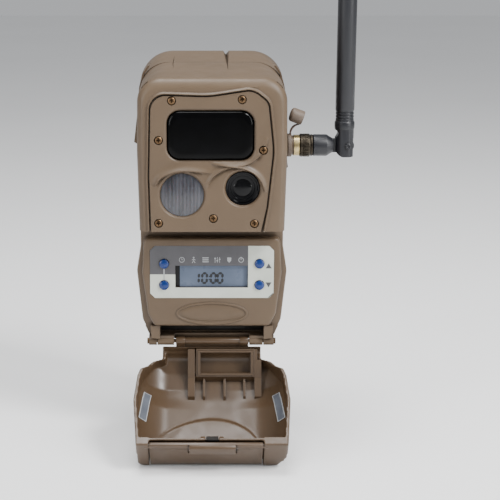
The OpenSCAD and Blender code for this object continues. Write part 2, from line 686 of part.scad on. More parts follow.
module antenna_whip() {
    color([0.13, 0.13, 0.14]) difference() {
        union() {
            intersection() {
                translate([whip_x, jack_y, 20]) cylinder(d = whip_d, h = 24);
                union() {
                    rod_y([elbow_x, jack_z], 8.3, -30, -54);
                    block([76, -50, 37], [90, -34, 44]);
                    block([elbow_x, -50, 27], [90, -34, 40]);
                }
                block([70, -50, 27], [90, -34, 44]);
            }
            translate([whip_x, jack_y, 44]) cylinder(d = whip_d + 0.7, h = 5);
            translate([whip_x, jack_y, 49]) cylinder(d = whip_d - 0.4, h = 6);
            translate([whip_x, jack_y, 55]) cylinder(d = whip_d, h = whip_top - 58);
            translate([whip_x, jack_y, whip_top - 3]) cylinder(d1 = whip_d, d2 = whip_d - 4, h = 3);
        }
        block([70, jack_y - 2.15, 20], [elbow_x + 4.6, jack_y + 2.15, jack_z + 4.6]);
        rod_y([elbow_x, jack_z], 1.5 + fit, -30, -50);
    }
}
module elbow_pin() {
    color([0.3, 0.3, 0.3]) {
        rod_y([elbow_x, jack_z], 1.5, jack_y + 5.5, jack_y - 5.6);
        rod_y([elbow_x, jack_z], 2, jack_y - 5.6, jack_y - 6.2);
    }
}
module cap_tether() {
    strip = [for (i = [0:8]) [53.2 - 5.2 * cos(11 * i), 41 + 6 * sin(11 * i)]];
    color([0.42, 0.27, 0.16]) {
        difference() {
            rod_x([jack_y, jack_z], 7.2, 46.8, 49.2);
            rod_x([jack_y, jack_z], boss_r + fit, 46, 50);
        }
        slab(concat([[48, 40.4]], strip, [for (i = [8:-1:0]) strip[i] + [0.9, -0.5]], [[48.9, 40.4]]),
            jack_y + 1.3, jack_y - 1.3);
    }
}
module dust_cap() {
    color(tan_colour) translate([52.3, jack_y, 52]) rotate([0, 110, 0]) difference() {
        union() {
            translate([0, 0, -3]) cylinder(r = 4.4, h = 7.2);
            translate([0, 0, -4.2]) cylinder(r1 = 3.2, r2 = 4.4, h = 1.2);
        }
        translate([0, 0, -2]) cylinder(r = 3.25, h = 10);
    }
}

rear_shell();
front_housing();
housing_gasket();
battery_chamber();
tripod_insert();
rear_screws();
front_plate();
front_plate_screws();
ir_window();
ir_led_board();
ir_leds();
pir_lens();
pir_sensor();
lens_window();
lens_barrel();
lens_holder();
image_sensor_board();
control_panel();
panel_label();
lcd_window();
lcd_module();
button_board();
status_leds();
mode_button();
more_button();
up_button();
down_button();
port_panel();
sd_socket();
sd_card();
main_board();
processor_shield();
modem_module();
sim_card();
coax_lead();
antenna_jack();
hinge_pin();
battery_tray();
battery_cells();
battery_contacts();
door_shell();
door_port_cover();
port_gasket();
door_stickers();
latch_bar();
latch_spring();
coupling_nut();
antenna_elbow();
antenna_whip();
elbow_pin();
cap_tether();
dust_cap();
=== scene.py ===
import math

import bmesh
import bpy
from mathutils import Matrix, Vector


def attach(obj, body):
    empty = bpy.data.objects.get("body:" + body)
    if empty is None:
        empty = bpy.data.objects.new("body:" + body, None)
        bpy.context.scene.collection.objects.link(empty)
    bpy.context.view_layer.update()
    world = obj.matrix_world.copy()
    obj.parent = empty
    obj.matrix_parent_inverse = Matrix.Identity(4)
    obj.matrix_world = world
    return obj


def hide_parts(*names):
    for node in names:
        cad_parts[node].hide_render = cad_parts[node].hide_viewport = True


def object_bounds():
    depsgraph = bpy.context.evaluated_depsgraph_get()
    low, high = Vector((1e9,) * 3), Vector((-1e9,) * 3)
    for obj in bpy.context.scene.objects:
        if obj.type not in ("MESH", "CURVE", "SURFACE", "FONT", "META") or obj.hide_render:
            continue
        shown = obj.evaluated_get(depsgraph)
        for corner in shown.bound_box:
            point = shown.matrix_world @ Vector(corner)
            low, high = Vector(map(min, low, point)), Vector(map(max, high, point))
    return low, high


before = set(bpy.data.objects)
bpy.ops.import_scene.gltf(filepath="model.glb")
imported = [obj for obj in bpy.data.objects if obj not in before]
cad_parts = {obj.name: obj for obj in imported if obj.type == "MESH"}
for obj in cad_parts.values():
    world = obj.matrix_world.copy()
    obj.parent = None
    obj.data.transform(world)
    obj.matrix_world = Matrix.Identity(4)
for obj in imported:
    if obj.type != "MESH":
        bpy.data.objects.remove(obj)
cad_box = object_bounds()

MM = 0.001
TURN = 2 * math.pi

# ---- the CAD's own dimensions, in millimetres ----
HOOD_HALF = 45.2
BODY_HALF = 89.0
HOOD_BOTTOM = -13.5
BACK_WALL = 7.5
FLANGE_Y = -54.6
PANEL_Y = -62.0
PLATE_Y = -79.2
PLATE_BACK = -76.8
HINGE_Y = -55.0
HINGE_Z = -90.2
DOOR_OPEN = math.radians(127)
DOOR_DEPTH = 25.0
DOOR_WALL = 2.2
DOOR_TOP = 76.2
JACK_Y = -44.6
JACK_Z = 33.8
PIR = (-18.1, 8.9)
PIR_R = 13.2
LENS = (18.4, 13.0)
LENS_R = 10.4
WINDOW_LOW = (-27.0, 30.2)
WINDOW_HIGH = (25.0, 60.0)
PLATE_SCREWS = [(-24.1, 65.8), (17.6, 66.5), (-32, 42.2), (30.5, 36.3), (-32.3, -8.3), (0.7, -5.3),
    (25.5, -8.5)]
LCD_LOW = (-22.8, -53.2)
LCD_HIGH = (22.5, -39.1)
BUTTONS = [(-29.8, -37.8), (-29.8, -51.5), (29.6, -37.8), (29.6, -51.5)]
LED_X = [-18.7 + 7.36 * i for i in range(6)]
LED_Z = -30.9
BAR_LEFT = -37.9
BAR_RIGHT = 30.7
BAR_GAP = 0.45

# ---- other distances that are used more than once ----
LINING = 2.6
THROUGH_PLATE = (-70, -90)
THROUGH_PANEL = (-50, -70)
DIGIT_DEPTH = (PANEL_Y + 2.02, PANEL_Y + 1.93)
DOOR_FLOOR_Y = -DOOR_DEPTH + DOOR_WALL
AHEAD = (0, -1, 0)
SIDEWAYS = (1, 0, 0)


# ---- outlines ----
def arc_corner(point, before, after, radius, steps):
    """The points of one rounded corner of an outline."""
    if radius <= 0:
        return [point]
    u = (before - point).normalized()
    v = (after - point).normalized()
    half = math.acos(max(-1, min(1, u.dot(v)))) / 2
    centre = point + (u + v).normalized() * radius / math.sin(half)
    start_arm = point + u * radius / math.tan(half) - centre
    start = math.atan2(start_arm.y, start_arm.x)
    sweep = (math.pi - 2 * half) * (-1 if u.x * v.y - u.y * v.x > 0 else 1)
    turns = [start + sweep * i / steps for i in range(steps + 1)]
    return [centre + radius * Vector((math.cos(a), math.sin(a))) for a in turns]


def rounded(corners, steps=8):
    """An outline with rounded corners, from (across, up, radius) corners."""
    points = [Vector((c[0], c[1])) for c in corners]
    count = len(points)
    out = []
    for i in range(count):
        out += arc_corner(points[i], points[i - 1], points[(i + 1) % count], corners[i][2], steps)
    return out


def mirrored(half):
    return half + [(-c[0], c[1], c[2]) for c in reversed(half)]


def resample(line, count):
    """The same line with evenly spaced points."""
    lengths = [0.0]
    for a, b in zip(line, line[1:]):
        lengths.append(lengths[-1] + (b - a).length)
    out = []
    k = 0
    for i in range(count):
        want = lengths[-1] * i / (count - 1)
        while k < len(line) - 2 and lengths[k + 1] < want:
            k += 1
        span = lengths[k + 1] - lengths[k]
        out.append(line[k].lerp(line[k + 1], (want - lengths[k]) / span if span else 0))
    return out


def offset(points, distance):
    """An open line moved sideways, to the right of its direction."""
    out = []
    for i, p in enumerate(points):
        a = points[max(0, i - 1)]
        b = points[min(len(points) - 1, i + 1)]
        d = (b - a).normalized()
        out.append(p + Vector((d.y, -d.x)) * distance)
    return out


# ---- meshes ----
def placed(name, data):
    """A new object in the scene."""
    obj = bpy.data.objects.new(name, data)
    bpy.context.scene.collection.objects.link(obj)
    return obj


def new_object(name, verts, faces):
    mesh = bpy.data.meshes.new(name)
    mesh.from_pydata([Vector(v) * MM for v in verts], [], faces)
    mesh.validate()
    return placed(name, mesh)


def clean(obj, gap=1e-6):
    """Joins doubled vertices and turns the faces outwards."""
    bm = bmesh.new()
    bm.from_mesh(obj.data)
    bmesh.ops.remove_doubles(bm, verts=bm.verts, dist=gap)
    bmesh.ops.dissolve_degenerate(bm, edges=bm.edges, dist=1e-7)
    bmesh.ops.recalc_face_normals(bm, faces=bm.faces)
    bm.to_mesh(obj.data)
    bm.free()
    return obj


def loft(name, rings):
    """A closed skin through rings that have the same number of points."""
    n = len(rings[0])
    verts = [p for ring in rings for p in ring]
    faces = []
    for r in range(len(rings) - 1):
        for i in range(n):
            j = (i + 1) % n
            faces.append((r * n + i, r * n + j, (r + 1) * n + j, (r + 1) * n + i))
    faces.append(tuple(range(n - 1, -1, -1)))
    faces.append(tuple((len(rings) - 1) * n + i for i in range(n)))
    return clean(new_object(name, verts, faces))


def grid_rim(nx, ny):
    """The border of a grid of vertices, once round."""
    rim = list(range(nx)) + [j * nx + nx - 1 for j in range(1, ny)]
    return rim + [(ny - 1) * nx + i for i in range(nx - 2, -1, -1)] + [j * nx for j in range(ny - 2, 0, -1)]


def prism_y(name, outline, back, front):
    """A front-view outline filled between two distances along Y."""
    return loft(name, [[(p[0], y, p[1]) for p in outline] for y in (back, front)])


def circle(steps):
    """Cosine and sine of evenly spaced turns."""
    return [(math.cos(TURN * i / steps), math.sin(TURN * i / steps)) for i in range(steps)]


def ellipse(centre, wide, tall, steps):
    return [(centre[0] + wide * c, centre[1] + tall * s) for c, s in circle(steps)]


def disc_outline(centre, radius, steps):
    return ellipse(centre, radius, radius, steps)


def box_outline(low, high, radius, steps=8):
    return rounded([(low[0], low[1], radius), (high[0], low[1], radius), (high[0], high[1], radius),
        (low[0], high[1], radius)], steps)


def block(name, low, high):
    corners = [(low[0], low[2]), (high[0], low[2]), (high[0], high[2]), (low[0], high[2])]
    return prism_y(name, corners, high[1], low[1])


def spun(name, profile, origin, axis, steps=48):
    """A solid of revolution: profile is (distance along the axis, radius) pairs."""
    axis = Vector(axis).normalized()
    side = axis.orthogonal().normalized()
    other = axis.cross(side)
    rings = []
    for along, radius in profile:
        middle = Vector(origin) + axis * along
        rings.append([middle + (side * c + other * s) * radius for c, s in circle(steps)])
    return loft(name, rings)


def combine(obj, other, operation="DIFFERENCE"):
    """Cuts, joins or trims obj by other, which is used up."""
    mod = obj.modifiers.new("shape", "BOOLEAN")
    mod.operation = operation
    mod.object = other
    mod.solver = "EXACT"
    apply_modifiers(obj)
    bpy.data.objects.remove(other, do_unlink=True)
    return obj


def apply_modifiers(obj):
    graph = bpy.context.evaluated_depsgraph_get()
    mesh = bpy.data.meshes.new_from_object(obj.evaluated_get(graph), depsgraph=graph)
    obj.modifiers.clear()
    old = obj.data
    obj.data = mesh
    bpy.data.meshes.remove(old)


def cut(obj, *tools):
    for tool in tools:
        combine(obj, tool)
    return obj


def fuse(obj, other):
    return combine(obj, other, "UNION")


def trim(obj, other):
    return combine(obj, other, "INTERSECT")


def join(obj, *others):
    """Puts the other meshes into obj without merging them."""
    bm = bmesh.new()
    bm.from_mesh(obj.data)
    for other in others:
        bm.from_mesh(other.data)
        bpy.data.objects.remove(other, do_unlink=True)
    bm.to_mesh(obj.data)
    bm.free()
    return obj


def copy_of(node, name):
    """A new object with a CAD node's shape, with its doubled vertices joined."""
    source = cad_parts[node]
    obj = placed(name, source.data.copy())
    obj.data.materials.clear()
    for key in [a.name for a in obj.data.attributes if a.name == "custom_normal"]:
        obj.data.attributes.remove(obj.data.attributes[key])
    return clean(obj, 2e-6)


def bevel(obj, width):
    mod = obj.modifiers.new("edges", "BEVEL")
    mod.width = width * MM
    mod.segments = 2
    mod.limit_method = "ANGLE"
    mod.angle_limit = math.radians(35)
    mod.harden_normals = False
    apply_modifiers(obj)


def piece(obj, slot, replaces=(), angle=32, body="housing", material=None):
    """Finishes a new piece: smooth shading, the material of its slot unless another is given, its body, and
    hiding the CAD nodes it stands for.
    """
    obj.data.shade_smooth()
    obj.data.set_sharp_from_angle(angle=math.radians(angle))
    obj.data.materials.clear()
    obj.data.materials.append(material or MATERIALS[slot])
    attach(obj, body)
    if replaces:
        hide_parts(*replaces)
    return obj


# ---- materials ----
def linear(red, green, blue):
    """A colour given as 0 to 255 display values, as the shader wants it."""
    out = []
    for value in (red, green, blue):
        v = value / 255
        out.append(v / 12.92 if v <= 0.04045 else ((v + 0.055) / 1.055) ** 2.4)
    return (*out, 1.0)


def scaled(colour, factor, lift=0):
    return [min(1, c * factor + lift) for c in colour[:3]] + [1.0]


class Shade:
    """A node material, built up one step at a time."""

    def __init__(self, name):
        self.mat = bpy.data.materials.new(name)
        self.mat.use_nodes = True
        self.tree = self.mat.node_tree
        self.tree.nodes.clear()
        self.out = self.add("ShaderNodeOutputMaterial")
        self.bsdf = self.add("ShaderNodeBsdfPrincipled")
        self.feed(self.out.inputs[0], self.bsdf.outputs[0])
        self.coord = self.add("ShaderNodeTexCoord").outputs["Object"]

    def add(self, kind, sockets=(), **values):
        """A new node with its properties set, and its sockets set or linked."""
        node = self.tree.nodes.new(kind)
        for key, value in values.items():
            setattr(node, key, value)
        for key, value in dict(sockets).items():
            self.feed(node.inputs[key], value)
        return node

    def feed(self, socket, value):
        if isinstance(value, bpy.types.NodeSocket):
            self.tree.links.new(value, socket)
        else:
            socket.default_value = value

    def maths(self, operation, a, b):
        return self.add("ShaderNodeMath", {0: a, 1: b}, operation=operation).outputs[0]

    def noise(self, scale, detail=3.0, rough=0.5, stretch=(1, 1, 1)):
        place = self.add("ShaderNodeMapping", {"Scale": stretch, "Vector": self.coord}).outputs[0]
        sockets = {"Scale": scale, "Detail": detail, "Roughness": rough, "Vector": place}
        return self.add("ShaderNodeTexNoise", sockets).outputs["Fac"]

    def spread(self, value, low, high, new_low, new_high):
        sockets = {"Value": value, "From Min": low, "From Max": high, "To Min": new_low, "To Max": new_high}
        return self.add("ShaderNodeMapRange", sockets, clamp=True).outputs[0]

    def patch(self, noise, low=0.3, high=0.7, new_low=0.0, new_high=1.0):
        return self.spread(self.noise(*noise), low, high, new_low, new_high)

    def mix(self, factor, a, b, blend="MIX"):
        sockets = {0: factor, 6: a, 7: b}
        return self.add("ShaderNodeMix", sockets, data_type="RGBA", blend_type=blend).outputs[2]

    def darken(self, colour, amount):
        grey = self.add("ShaderNodeCombineColor", {0: amount, 1: amount, 2: amount}).outputs[0]
        return self.mix(1.0, colour, grey, "MULTIPLY")

    def axis(self, index):
        return self.add("ShaderNodeSeparateXYZ", {0: self.coord}).outputs[index]

    def soft_edge(self, radius):
        return self.add("ShaderNodeBevel", {"Radius": radius * MM}, samples=4).outputs[0]

    def edge_mask(self, radius):
        """Near 1 along corners and edges, and 0 on plain faces."""
        true_normal = self.add("ShaderNodeNewGeometry").outputs["Normal"]
        sockets = {0: self.soft_edge(radius), 1: true_normal}
        dot = self.add("ShaderNodeVectorMath", sockets, operation="DOT_PRODUCT").outputs["Value"]
        return self.spread(self.maths("SUBTRACT", 1.0, dot), 0.02, 0.3, 0.0, 1.0)

    def crevice(self, distance):
        return self.add("ShaderNodeAmbientOcclusion", {"Distance": distance * MM}, samples=6).outputs["AO"]

    def bump(self, height, strength, distance, normal=None):
        sockets = {"Strength": strength, "Distance": distance * MM, "Height": height}
        if normal:
            sockets["Normal"] = normal
        return self.add("ShaderNodeBump", sockets).outputs[0]

    def set(self, **values):
        for key, value in values.items():
            self.feed(self.bsdf.inputs[key.replace("_", " ")], value)
        return self.mat


def moulded(name, colour, rough=0.5, grain=2200, texture=0.12, vary=0.07, wear=0.16, crevice_shade=0.45, edge=0.35,
        **extra):
    """Moulded plastic: faint mottling, a fine satin grain, paler worn edges, and painted shade that darkens
    its crevices.
    """
    s = Shade(name)
    dark = scaled(colour, 1 - vary)
    pale = scaled(colour, 1 + vary)
    worn = scaled(colour, 1.5, 0.03)
    cloudy = s.patch((45, 4, 0.6))
    base = s.mix(cloudy, dark, pale)
    specks = s.patch((700, 2, 0.5), 0.62, 0.75, 0.0, 0.25)
    base = s.mix(specks, base, dark)
    rub = s.maths("MULTIPLY", s.edge_mask(0.7), s.patch((160, 3), 0.35, 0.65, 0.3, 1.0))
    base = s.mix(s.maths("MULTIPLY", rub, wear * 3), base, worn)
    # painted shade: ambient occlusion darkens the colour in crevices, grooves and under overhangs
    hollow = s.spread(s.crevice(3.5), 0.25, 0.95, 1 - crevice_shade, 1.0)
    base = s.darken(base, hollow)
    polish = s.patch((110, 3), 0.3, 0.7, rough - 0.05, rough + 0.06)
    height = s.noise(grain, 2, 0.55)
    normal = s.bump(height, texture, 0.08, s.soft_edge(edge))
    return s.set(Base_Color=base, Roughness=polish, Normal=normal, **extra)


def metal(name, colour, rough=0.3, grain=900, texture=0.1, stretch=(1, 1, 1), **extra):
    """Turned or cast metal: fine scratches, dull patches, and painted shade that darkens its crevices."""
    s = Shade(name)
    dark = scaled(colour, 0.6)
    patches = s.patch((260, 4, 0.6), 0.3, 0.75, 0.0, 1.0)
    base = s.mix(patches, colour, dark)
    # painted shade: ambient occlusion darkens the colour in crevices and recesses
    hollow = s.spread(s.crevice(1.2), 0.3, 0.95, 0.35, 1.0)
    base = s.darken(base, hollow)
    polish = s.patch((420, 3, 0.6), 0.3, 0.7, rough - 0.08, rough + 0.14)
    height = s.noise(grain, 3, 0.6, stretch)
    normal = s.bump(height, texture, 0.05, s.soft_edge(0.12))
    return s.set(Base_Color=base, Roughness=polish, Normal=normal, Metallic=1.0, **extra)


def black_gloss():
    s = Shade("black_gloss")
    smear = s.patch((60, 4, 0.6), 0.4, 0.75, 0.05, 0.12)
    tint = s.mix(s.patch((90, 2)), linear(1, 1, 1), linear(3, 3, 4))
    normal = s.bump(s.noise(130, 2), 0.02, 0.3, s.soft_edge(0.5))
    return s.set(Base_Color=tint, Roughness=smear, Normal=normal, Specular_IOR_Level=0.1)


def dark_glass():
    s = Shade("dark_glass")
    ring = s.noise(500, 2)
    tint = s.mix(s.spread(ring, 0.3, 0.7, 0.0, 1.0), linear(3, 3, 4), linear(7, 7, 9))
    smear = s.patch((200, 4, 0.6), 0.4, 0.75, 0.06, 0.2)
    return s.set(Base_Color=tint, Roughness=smear, Specular_IOR_Level=0.16, Coat_Weight=0.05,
        Coat_Roughness=0.06)


def fresnel():
    s = Shade("fresnel")
    # painted rib shading and painted sheen: colour stripes in step with the ribs, and bright upright streaks
    across = s.maths("MULTIPLY", s.axis(0), 1 / (2.2 * MM))
    band = s.maths("PINGPONG", across, 0.5)
    streak = s.noise(260, 3, 0.6, (1, 1, 0.12))
    mixed = s.maths("ADD", s.maths("MULTIPLY", band, 0.55), s.maths("MULTIPLY", streak, 1.3))
    colour = s.mix(s.spread(mixed, 0.45, 1.15, 0.0, 1.0), linear(26, 25, 29), linear(66, 65, 72))
    height = s.maths("ADD", band, s.maths("MULTIPLY", s.noise(900, 2), 0.25))
    normal = s.bump(height, 0.35, 0.25)
    polish = s.spread(streak, 0.35, 0.65, 0.2, 0.36)
    return s.set(Base_Color=colour, Roughness=polish, Normal=normal, Subsurface_Weight=0.15, Coat_Weight=0.3)


def clear_plastic(name, low, high, rough):
    s = Shade(name)
    tint = s.mix(s.patch((300, 3)), low, high)
    polish = s.patch((500, 2), 0.3, 0.7, rough, rough + 0.1)
    normal = s.bump(s.noise(1500, 2), 0.05, 0.05, s.soft_edge(0.15))
    return s.set(Base_Color=tint, Roughness=polish, Normal=normal, Coat_Weight=0.4, Coat_Roughness=0.1)


def inside(s, index, low, high):
    """1 where a coordinate, in millimetres, is between low and high."""
    here = s.maths("MULTIPLY", s.axis(index), 1 / MM)
    return s.maths("MULTIPLY", s.maths("GREATER_THAN", here, low), s.maths("LESS_THAN", here, high))


def label_film():
    """Printed film: a grey band along the top and the left, and off-white for the rest."""
    s = Shade("label_film")
    top = s.maths("MULTIPLY", inside(s, 2, -39.1, 0), inside(s, 0, -60, 22.5))
    left = s.maths("MULTIPLY", inside(s, 2, -44.7, 0), inside(s, 0, -60, -22.8))
    grey = s.maths("MAXIMUM", top, left)
    cloudy = s.patch((70, 4, 0.6))
    white = s.mix(cloudy, linear(176, 180, 170), linear(188, 191, 182))
    slate = s.mix(cloudy, linear(62, 61, 64), linear(71, 70, 73))
    base = s.mix(grey, white, slate)
    polish = s.patch((200, 3), 0.3, 0.7, 0.36, 0.5)
    normal = s.bump(s.noise(2500, 2), 0.06, 0.05, s.soft_edge(0.15))
    return s.set(Base_Color=base, Roughness=polish, Normal=normal)


def lcd_glass():
    """The display: blue-grey with a faint sheen of its own, and a black strip at its left that is painted
    shadow of the recess's side wall.
    """
    s = Shade("lcd_glass")
    # painted shadow: the left strip of the display is black where the recess's wall shades it
    recess_shadow = inside(s, 0, -60, LCD_LOW[0] + 2.8)
    cloudy = s.patch((50, 3, 0.5))
    base = s.mix(cloudy, linear(74, 84, 100), linear(88, 98, 116))
    base = s.mix(recess_shadow, base, linear(5, 5, 6))
    polish = s.patch((150, 3), 0.3, 0.7, 0.25, 0.35)
    return s.set(Base_Color=base, Roughness=polish, Specular_IOR_Level=0.2, Coat_Weight=0.04)


def sticker():
    s = Shade("sticker")
    cloudy = s.patch((90, 3, 0.5))
    base = s.mix(cloudy, linear(78, 82, 90), linear(96, 100, 108))
    polish = s.patch((200, 3), 0.3, 0.7, 0.3, 0.42)
    normal = s.bump(s.noise(1200, 2), 0.05, 0.05)
    return s.set(Base_Color=base, Roughness=polish, Normal=normal)


def ink(name, colour):
    s = Shade(name)
    dark = scaled(colour, 0.85)
    base = s.mix(s.patch((900, 2), 0.35, 0.65, 0.0, 1.0), dark, colour)
    polish = s.patch((400, 2), 0.3, 0.7, 0.4, 0.55)
    return s.set(Base_Color=base, Roughness=polish)


TAN = linear(86, 71, 55)
BROWN = linear(72, 56, 40)
MADE = [
    moulded("tan_plastic", TAN, rough=0.44, crevice_shade=0.6, Specular_IOR_Level=0.35),
    moulded("dark_tan_plastic", BROWN, rough=0.34, texture=0.07, wear=0.22, Specular_IOR_Level=0.4),
    moulded("gasket_rubber", linear(74, 58, 42), rough=0.45, wear=0.05, Specular_IOR_Level=0.4),
    moulded("black_plastic", linear(22, 18, 15), rough=0.6, wear=0.05, Specular_IOR_Level=0.2),
    moulded("antenna_black", linear(18, 19, 24), rough=0.38, grain=1500, texture=0.16, wear=0.04,
            Specular_IOR_Level=0.45),
    moulded("blue_button", linear(4, 40, 100), rough=0.26, texture=0.03, wear=0.02, crevice_shade=0.3,
            Specular_IOR_Level=0.4, Coat_Weight=0.12, Coat_Roughness=0.12),
    metal("brass", linear(196, 176, 128), rough=0.34),
    metal("steel", linear(170, 170, 168), rough=0.32),
    metal("bronze_screw", linear(104, 82, 60), rough=0.34),
    metal("knurled_metal", linear(70, 64, 55), rough=0.42),
    moulded("brown_rubber", linear(60, 38, 24), rough=0.55, wear=0.05),
    moulded("circuit_board", linear(30, 84, 50), rough=0.4, wear=0.05),
    moulded("cell_wrap", linear(60, 58, 60), rough=0.3, wear=0.05),
    black_gloss(),
    dark_glass(),
    fresnel(),
    clear_plastic("led_epoxy", linear(46, 30, 52), linear(66, 44, 70), 0.12),
    clear_plastic("light_pipe", linear(176, 178, 180), linear(206, 208, 210), 0.3),
    label_film(),
    lcd_glass(),
    sticker(),
    moulded("tan_rubber", linear(88, 75, 64), rough=0.6, wear=0.05, texture=0.2),
]


def plain(name):
    """A material's name without the number Blender adds to a second one."""
    return name.split(".")[0]


MATERIALS = {plain(made.name): made for made in MADE}

# every CAD node takes the material of its slot
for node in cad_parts.values():
    for held in node.material_slots:
        if held.material and plain(held.material.name) in MATERIALS:
            held.material = MATERIALS[plain(held.material.name)]


# ---- the two halves of the body ----
def roof(y):
    """Height of the hood's roof, just inside the CAD's."""
    if y > -66:
        return 84.55 + 0.137 * (y + 36)
    t = (-66 - y) / 14
    return 84.55 - 0.137 * 30 - 14 * (0.137 * t + 0.0615 * t * t)


def hood_arch(y, count=150):
    """The hood's section at a distance along Y: up the left side, over the top and down the right."""
    radius = 19 - 4.5 * min(1, max(0, (-38 - y) / 36))
    corners = mirrored([(-43.95, -16, 0), (-HOOD_HALF + 0.05, 35, 40), (-HOOD_HALF + 0.8, roof(y), radius)])
    return resample(rounded(corners, 16), count)


def plate_outline(d):
    return rounded([(-37.4 + d, HOOD_BOTTOM, 0), (-38.2 + d, 20, 60), (-37 + d, 69.6 - d, 9),
        (-2, 68.4 - d, 60), (24, 72.4 - d, 10), (33.6 - d, 65, 8), (36.8 - d, 36, 50), (33.2 - d, 1.2, 50),
        (30 - d, HOOD_BOTTOM, 0)], 12)


def plate_arch(d, count=150):
    line = plate_outline(0)
    line[0] = Vector((line[0].x, -16))
    line[-1] = Vector((line[-1].x, -16))
    return offset(resample(line, count), d)


def at(y, outline):
    return [(p.x, y, p.y) for p in outline]


def rolled(arch, inset):
    """The hood's front edge, rounded more along the brow than down the sides."""
    moved = offset(arch, inset)
    return [Vector((p.x, p.y - 0.55 * inset * max(0, min(1, (p.y - 50) / 24)))) for p in moved]


def hood_envelope():
    rings = [at(y, hood_arch(y)) for y in (-37.9, -44, -50, -56, -62, -67, -71, -73.2)]
    edge = hood_arch(-73.2)
    for inset, y in ((0.1, -74.3), (0.4, -75.5), (0.9, -76.6), (1.7, -77.6), (2.7, -78.4), (3.8, -78.9)):
        rings.append(at(y, rolled(edge, inset)))
    for out, y in ((2.0, -78.85), (1.6, -79.1), (1.25, -79.75), (0.95, -79.98), (0.7, -79.95),
            (0.45, -79.6), (0.3, -79.0), (0.26, -77.0)):
        rings.append(at(y, plate_arch(-out)))
    return loft("hood_envelope", rings)


def flange_outline(d):
    return rounded(mirrored([(-38.6 + d, -88.2 + d, 5), (-43.9 + d, -76, 8), (-47.2 + d, -44, 14),
        (-44.6 + d, -28, 10), (-44.6 + d, 0, 0)]), 10)


def body_envelope():
    rings = []
    for inset, y in ((0.08, -37.9), (0.08, -53.0), (0.2, -53.8), (0.55, -54.35), (1.1, -54.58)):
        rings.append(at(y, flange_outline(inset)))
    return loft("body_envelope", rings)


def notch(name):
    """The V groove that narrows as it runs forward over the roof."""
    back, front = -5.0, -58.0
    high = roof(-36) + 5.2
    verts = [(5.4, back, high + 2.2), (12.4, back, high + 2.2), (9.0, back, high - 3.2),
        (9.6, front, roof(front) - 0.15), (5.4, back, high + 8), (12.4, back, high + 8),
        (9.6, front, roof(front) + 8)]
    faces = [(0, 2, 3), (2, 1, 3), (0, 1, 2), (0, 3, 6, 4), (1, 5, 6, 3), (4, 6, 5), (0, 4, 5, 1)]
    return clean(new_object(name, verts, faces))


def slit(name):
    """A short thin slit in the roof."""
    rings = []
    for y, x, half, deep in ((-25, -23.4, 0.1, 0.6), (-33, -23.7, 0.5, 1.3), (-42, -24.0, 0.45, 1.3),
            (-52, -23.5, 0.1, 0.5)):
        top = roof(y) + (0.2 if y < -38 else 0.9)
        low = half * 0.3
        rings.append([(x - half, y, top + 4), (x + half, y, top + 4), (x + low, y, top - deep),
            (x - low, y, top - deep)])
    return loft(name, rings)


def corner_lining(name, outside, hollow):
    """Fills the shell out under its rounded roof corners. The hollow runs 1 mm past both ends."""
    first = [(x, y + 1, z) for x, y, z in hollow[0]]
    last = [(x, y - 1, z) for x, y, z in hollow[-1]]
    lining = cut(loft(name, outside), loft(name + "_hollow", [first] + hollow[1:-1] + [last]))
    return trim(lining, block(name + "_zone", (-60, -80, 58), (60, 0, 100)))


def make_front_housing():
    shell = copy_of("front_housing", "front_case")
    envelope = hood_envelope()
    fuse(envelope, body_envelope())
    fuse(envelope, block("lug_room", (-42, -60.2, -94), (42, -50, -78.5)))
    boss = [(0, 6.1), (7.4, 6.1), (7.65, 5.8)]
    fuse(envelope, spun("boss_room", boss, (43, JACK_Y, JACK_Z), SIDEWAYS, 64))
    trim(shell, envelope)
    stations = (-37.95, -44, -50, -56, -62, -67, -71, -73.1)
    outside, hollow = ([at(y, offset(hood_arch(y), inset)) for y in stations] for inset in (-0.03, LINING))
    fuse(shell, corner_lining("hood_lining", outside, hollow))
    fuse(shell, block("hinge_lip", (-23.9, -51.3, -89.9), (24.3, -49.4, -86.3)))
    cut(shell, notch("notch_a"), slit("slit_a"))
    return piece(shell, "tan_plastic", ["front_housing"], 30)


def rear_outline(d, y):
    """The rear shell's section, whose roof falls and whose corners tighten towards the front."""
    forward = -BACK_WALL - y
    top = 89.6 - forward * 0.1705
    bend = 21 - 2 * min(1, forward / 30)
    return rounded(mirrored([(-39.5 + d, -BODY_HALF + d, 6), (-45 + d, -43, 30),
        (-HOOD_HALF - 0.4 + d, 40, 40), (-HOOD_HALF - 0.2 + d, top - d, bend - min(d, 4))]), 12)


def make_rear_shell():
    shell = copy_of("rear_shell", "rear_case")
    rings = []
    for inset, y in ((3.4, -7.5), (2.2, -7.75), (1.2, -8.4), (0.5, -9.4), (0.12, -11), (0.06, -13),
            (0.06, -37.6), (0.35, -37.75)):
        rings.append(at(y, rear_outline(inset, y)))
    envelope = loft("rear_envelope", rings)
    for x in (-30, 30):
        rail = prism_y("rail_room", box_outline((x - 3, -62), (x + 3, 62), 2.2), -7.0, 0)
        fuse(envelope, rail)
    fuse(envelope, spun("thread_room", [(0, 7), (8, 7)], (0, 0, 0), AHEAD, 64))
    for side, reach, low in ((-1, 48.9, 31), (1, 48.1, 15)):
        wedge = [(40, 66), (45.5, 62), (reach - 0.4, low + 6), (reach, low + 3), (reach - 0.5, low + 1.6),
            (40, low - 0.5)]
        fuse(envelope, prism_y("flare_room", [(side * x, z) for x, z in wedge], -12, -34))
    trim(shell, envelope)
    stations = (-9.6, -12, -16, -24, -31, -37.7)
    outside = [at(y, rear_outline(0.45 if y > -10 else 0.03, y)) for y in stations]
    hollow = [at(y, rear_outline(LINING, y)) for y in stations]
    fuse(shell, corner_lining("rear_lining", outside, hollow))
    cut(shell, notch("notch_b"), slit("slit_b"))
    return piece(shell, "tan_plastic", ["rear_shell"], 30)


make_front_housing()
make_rear_shell()


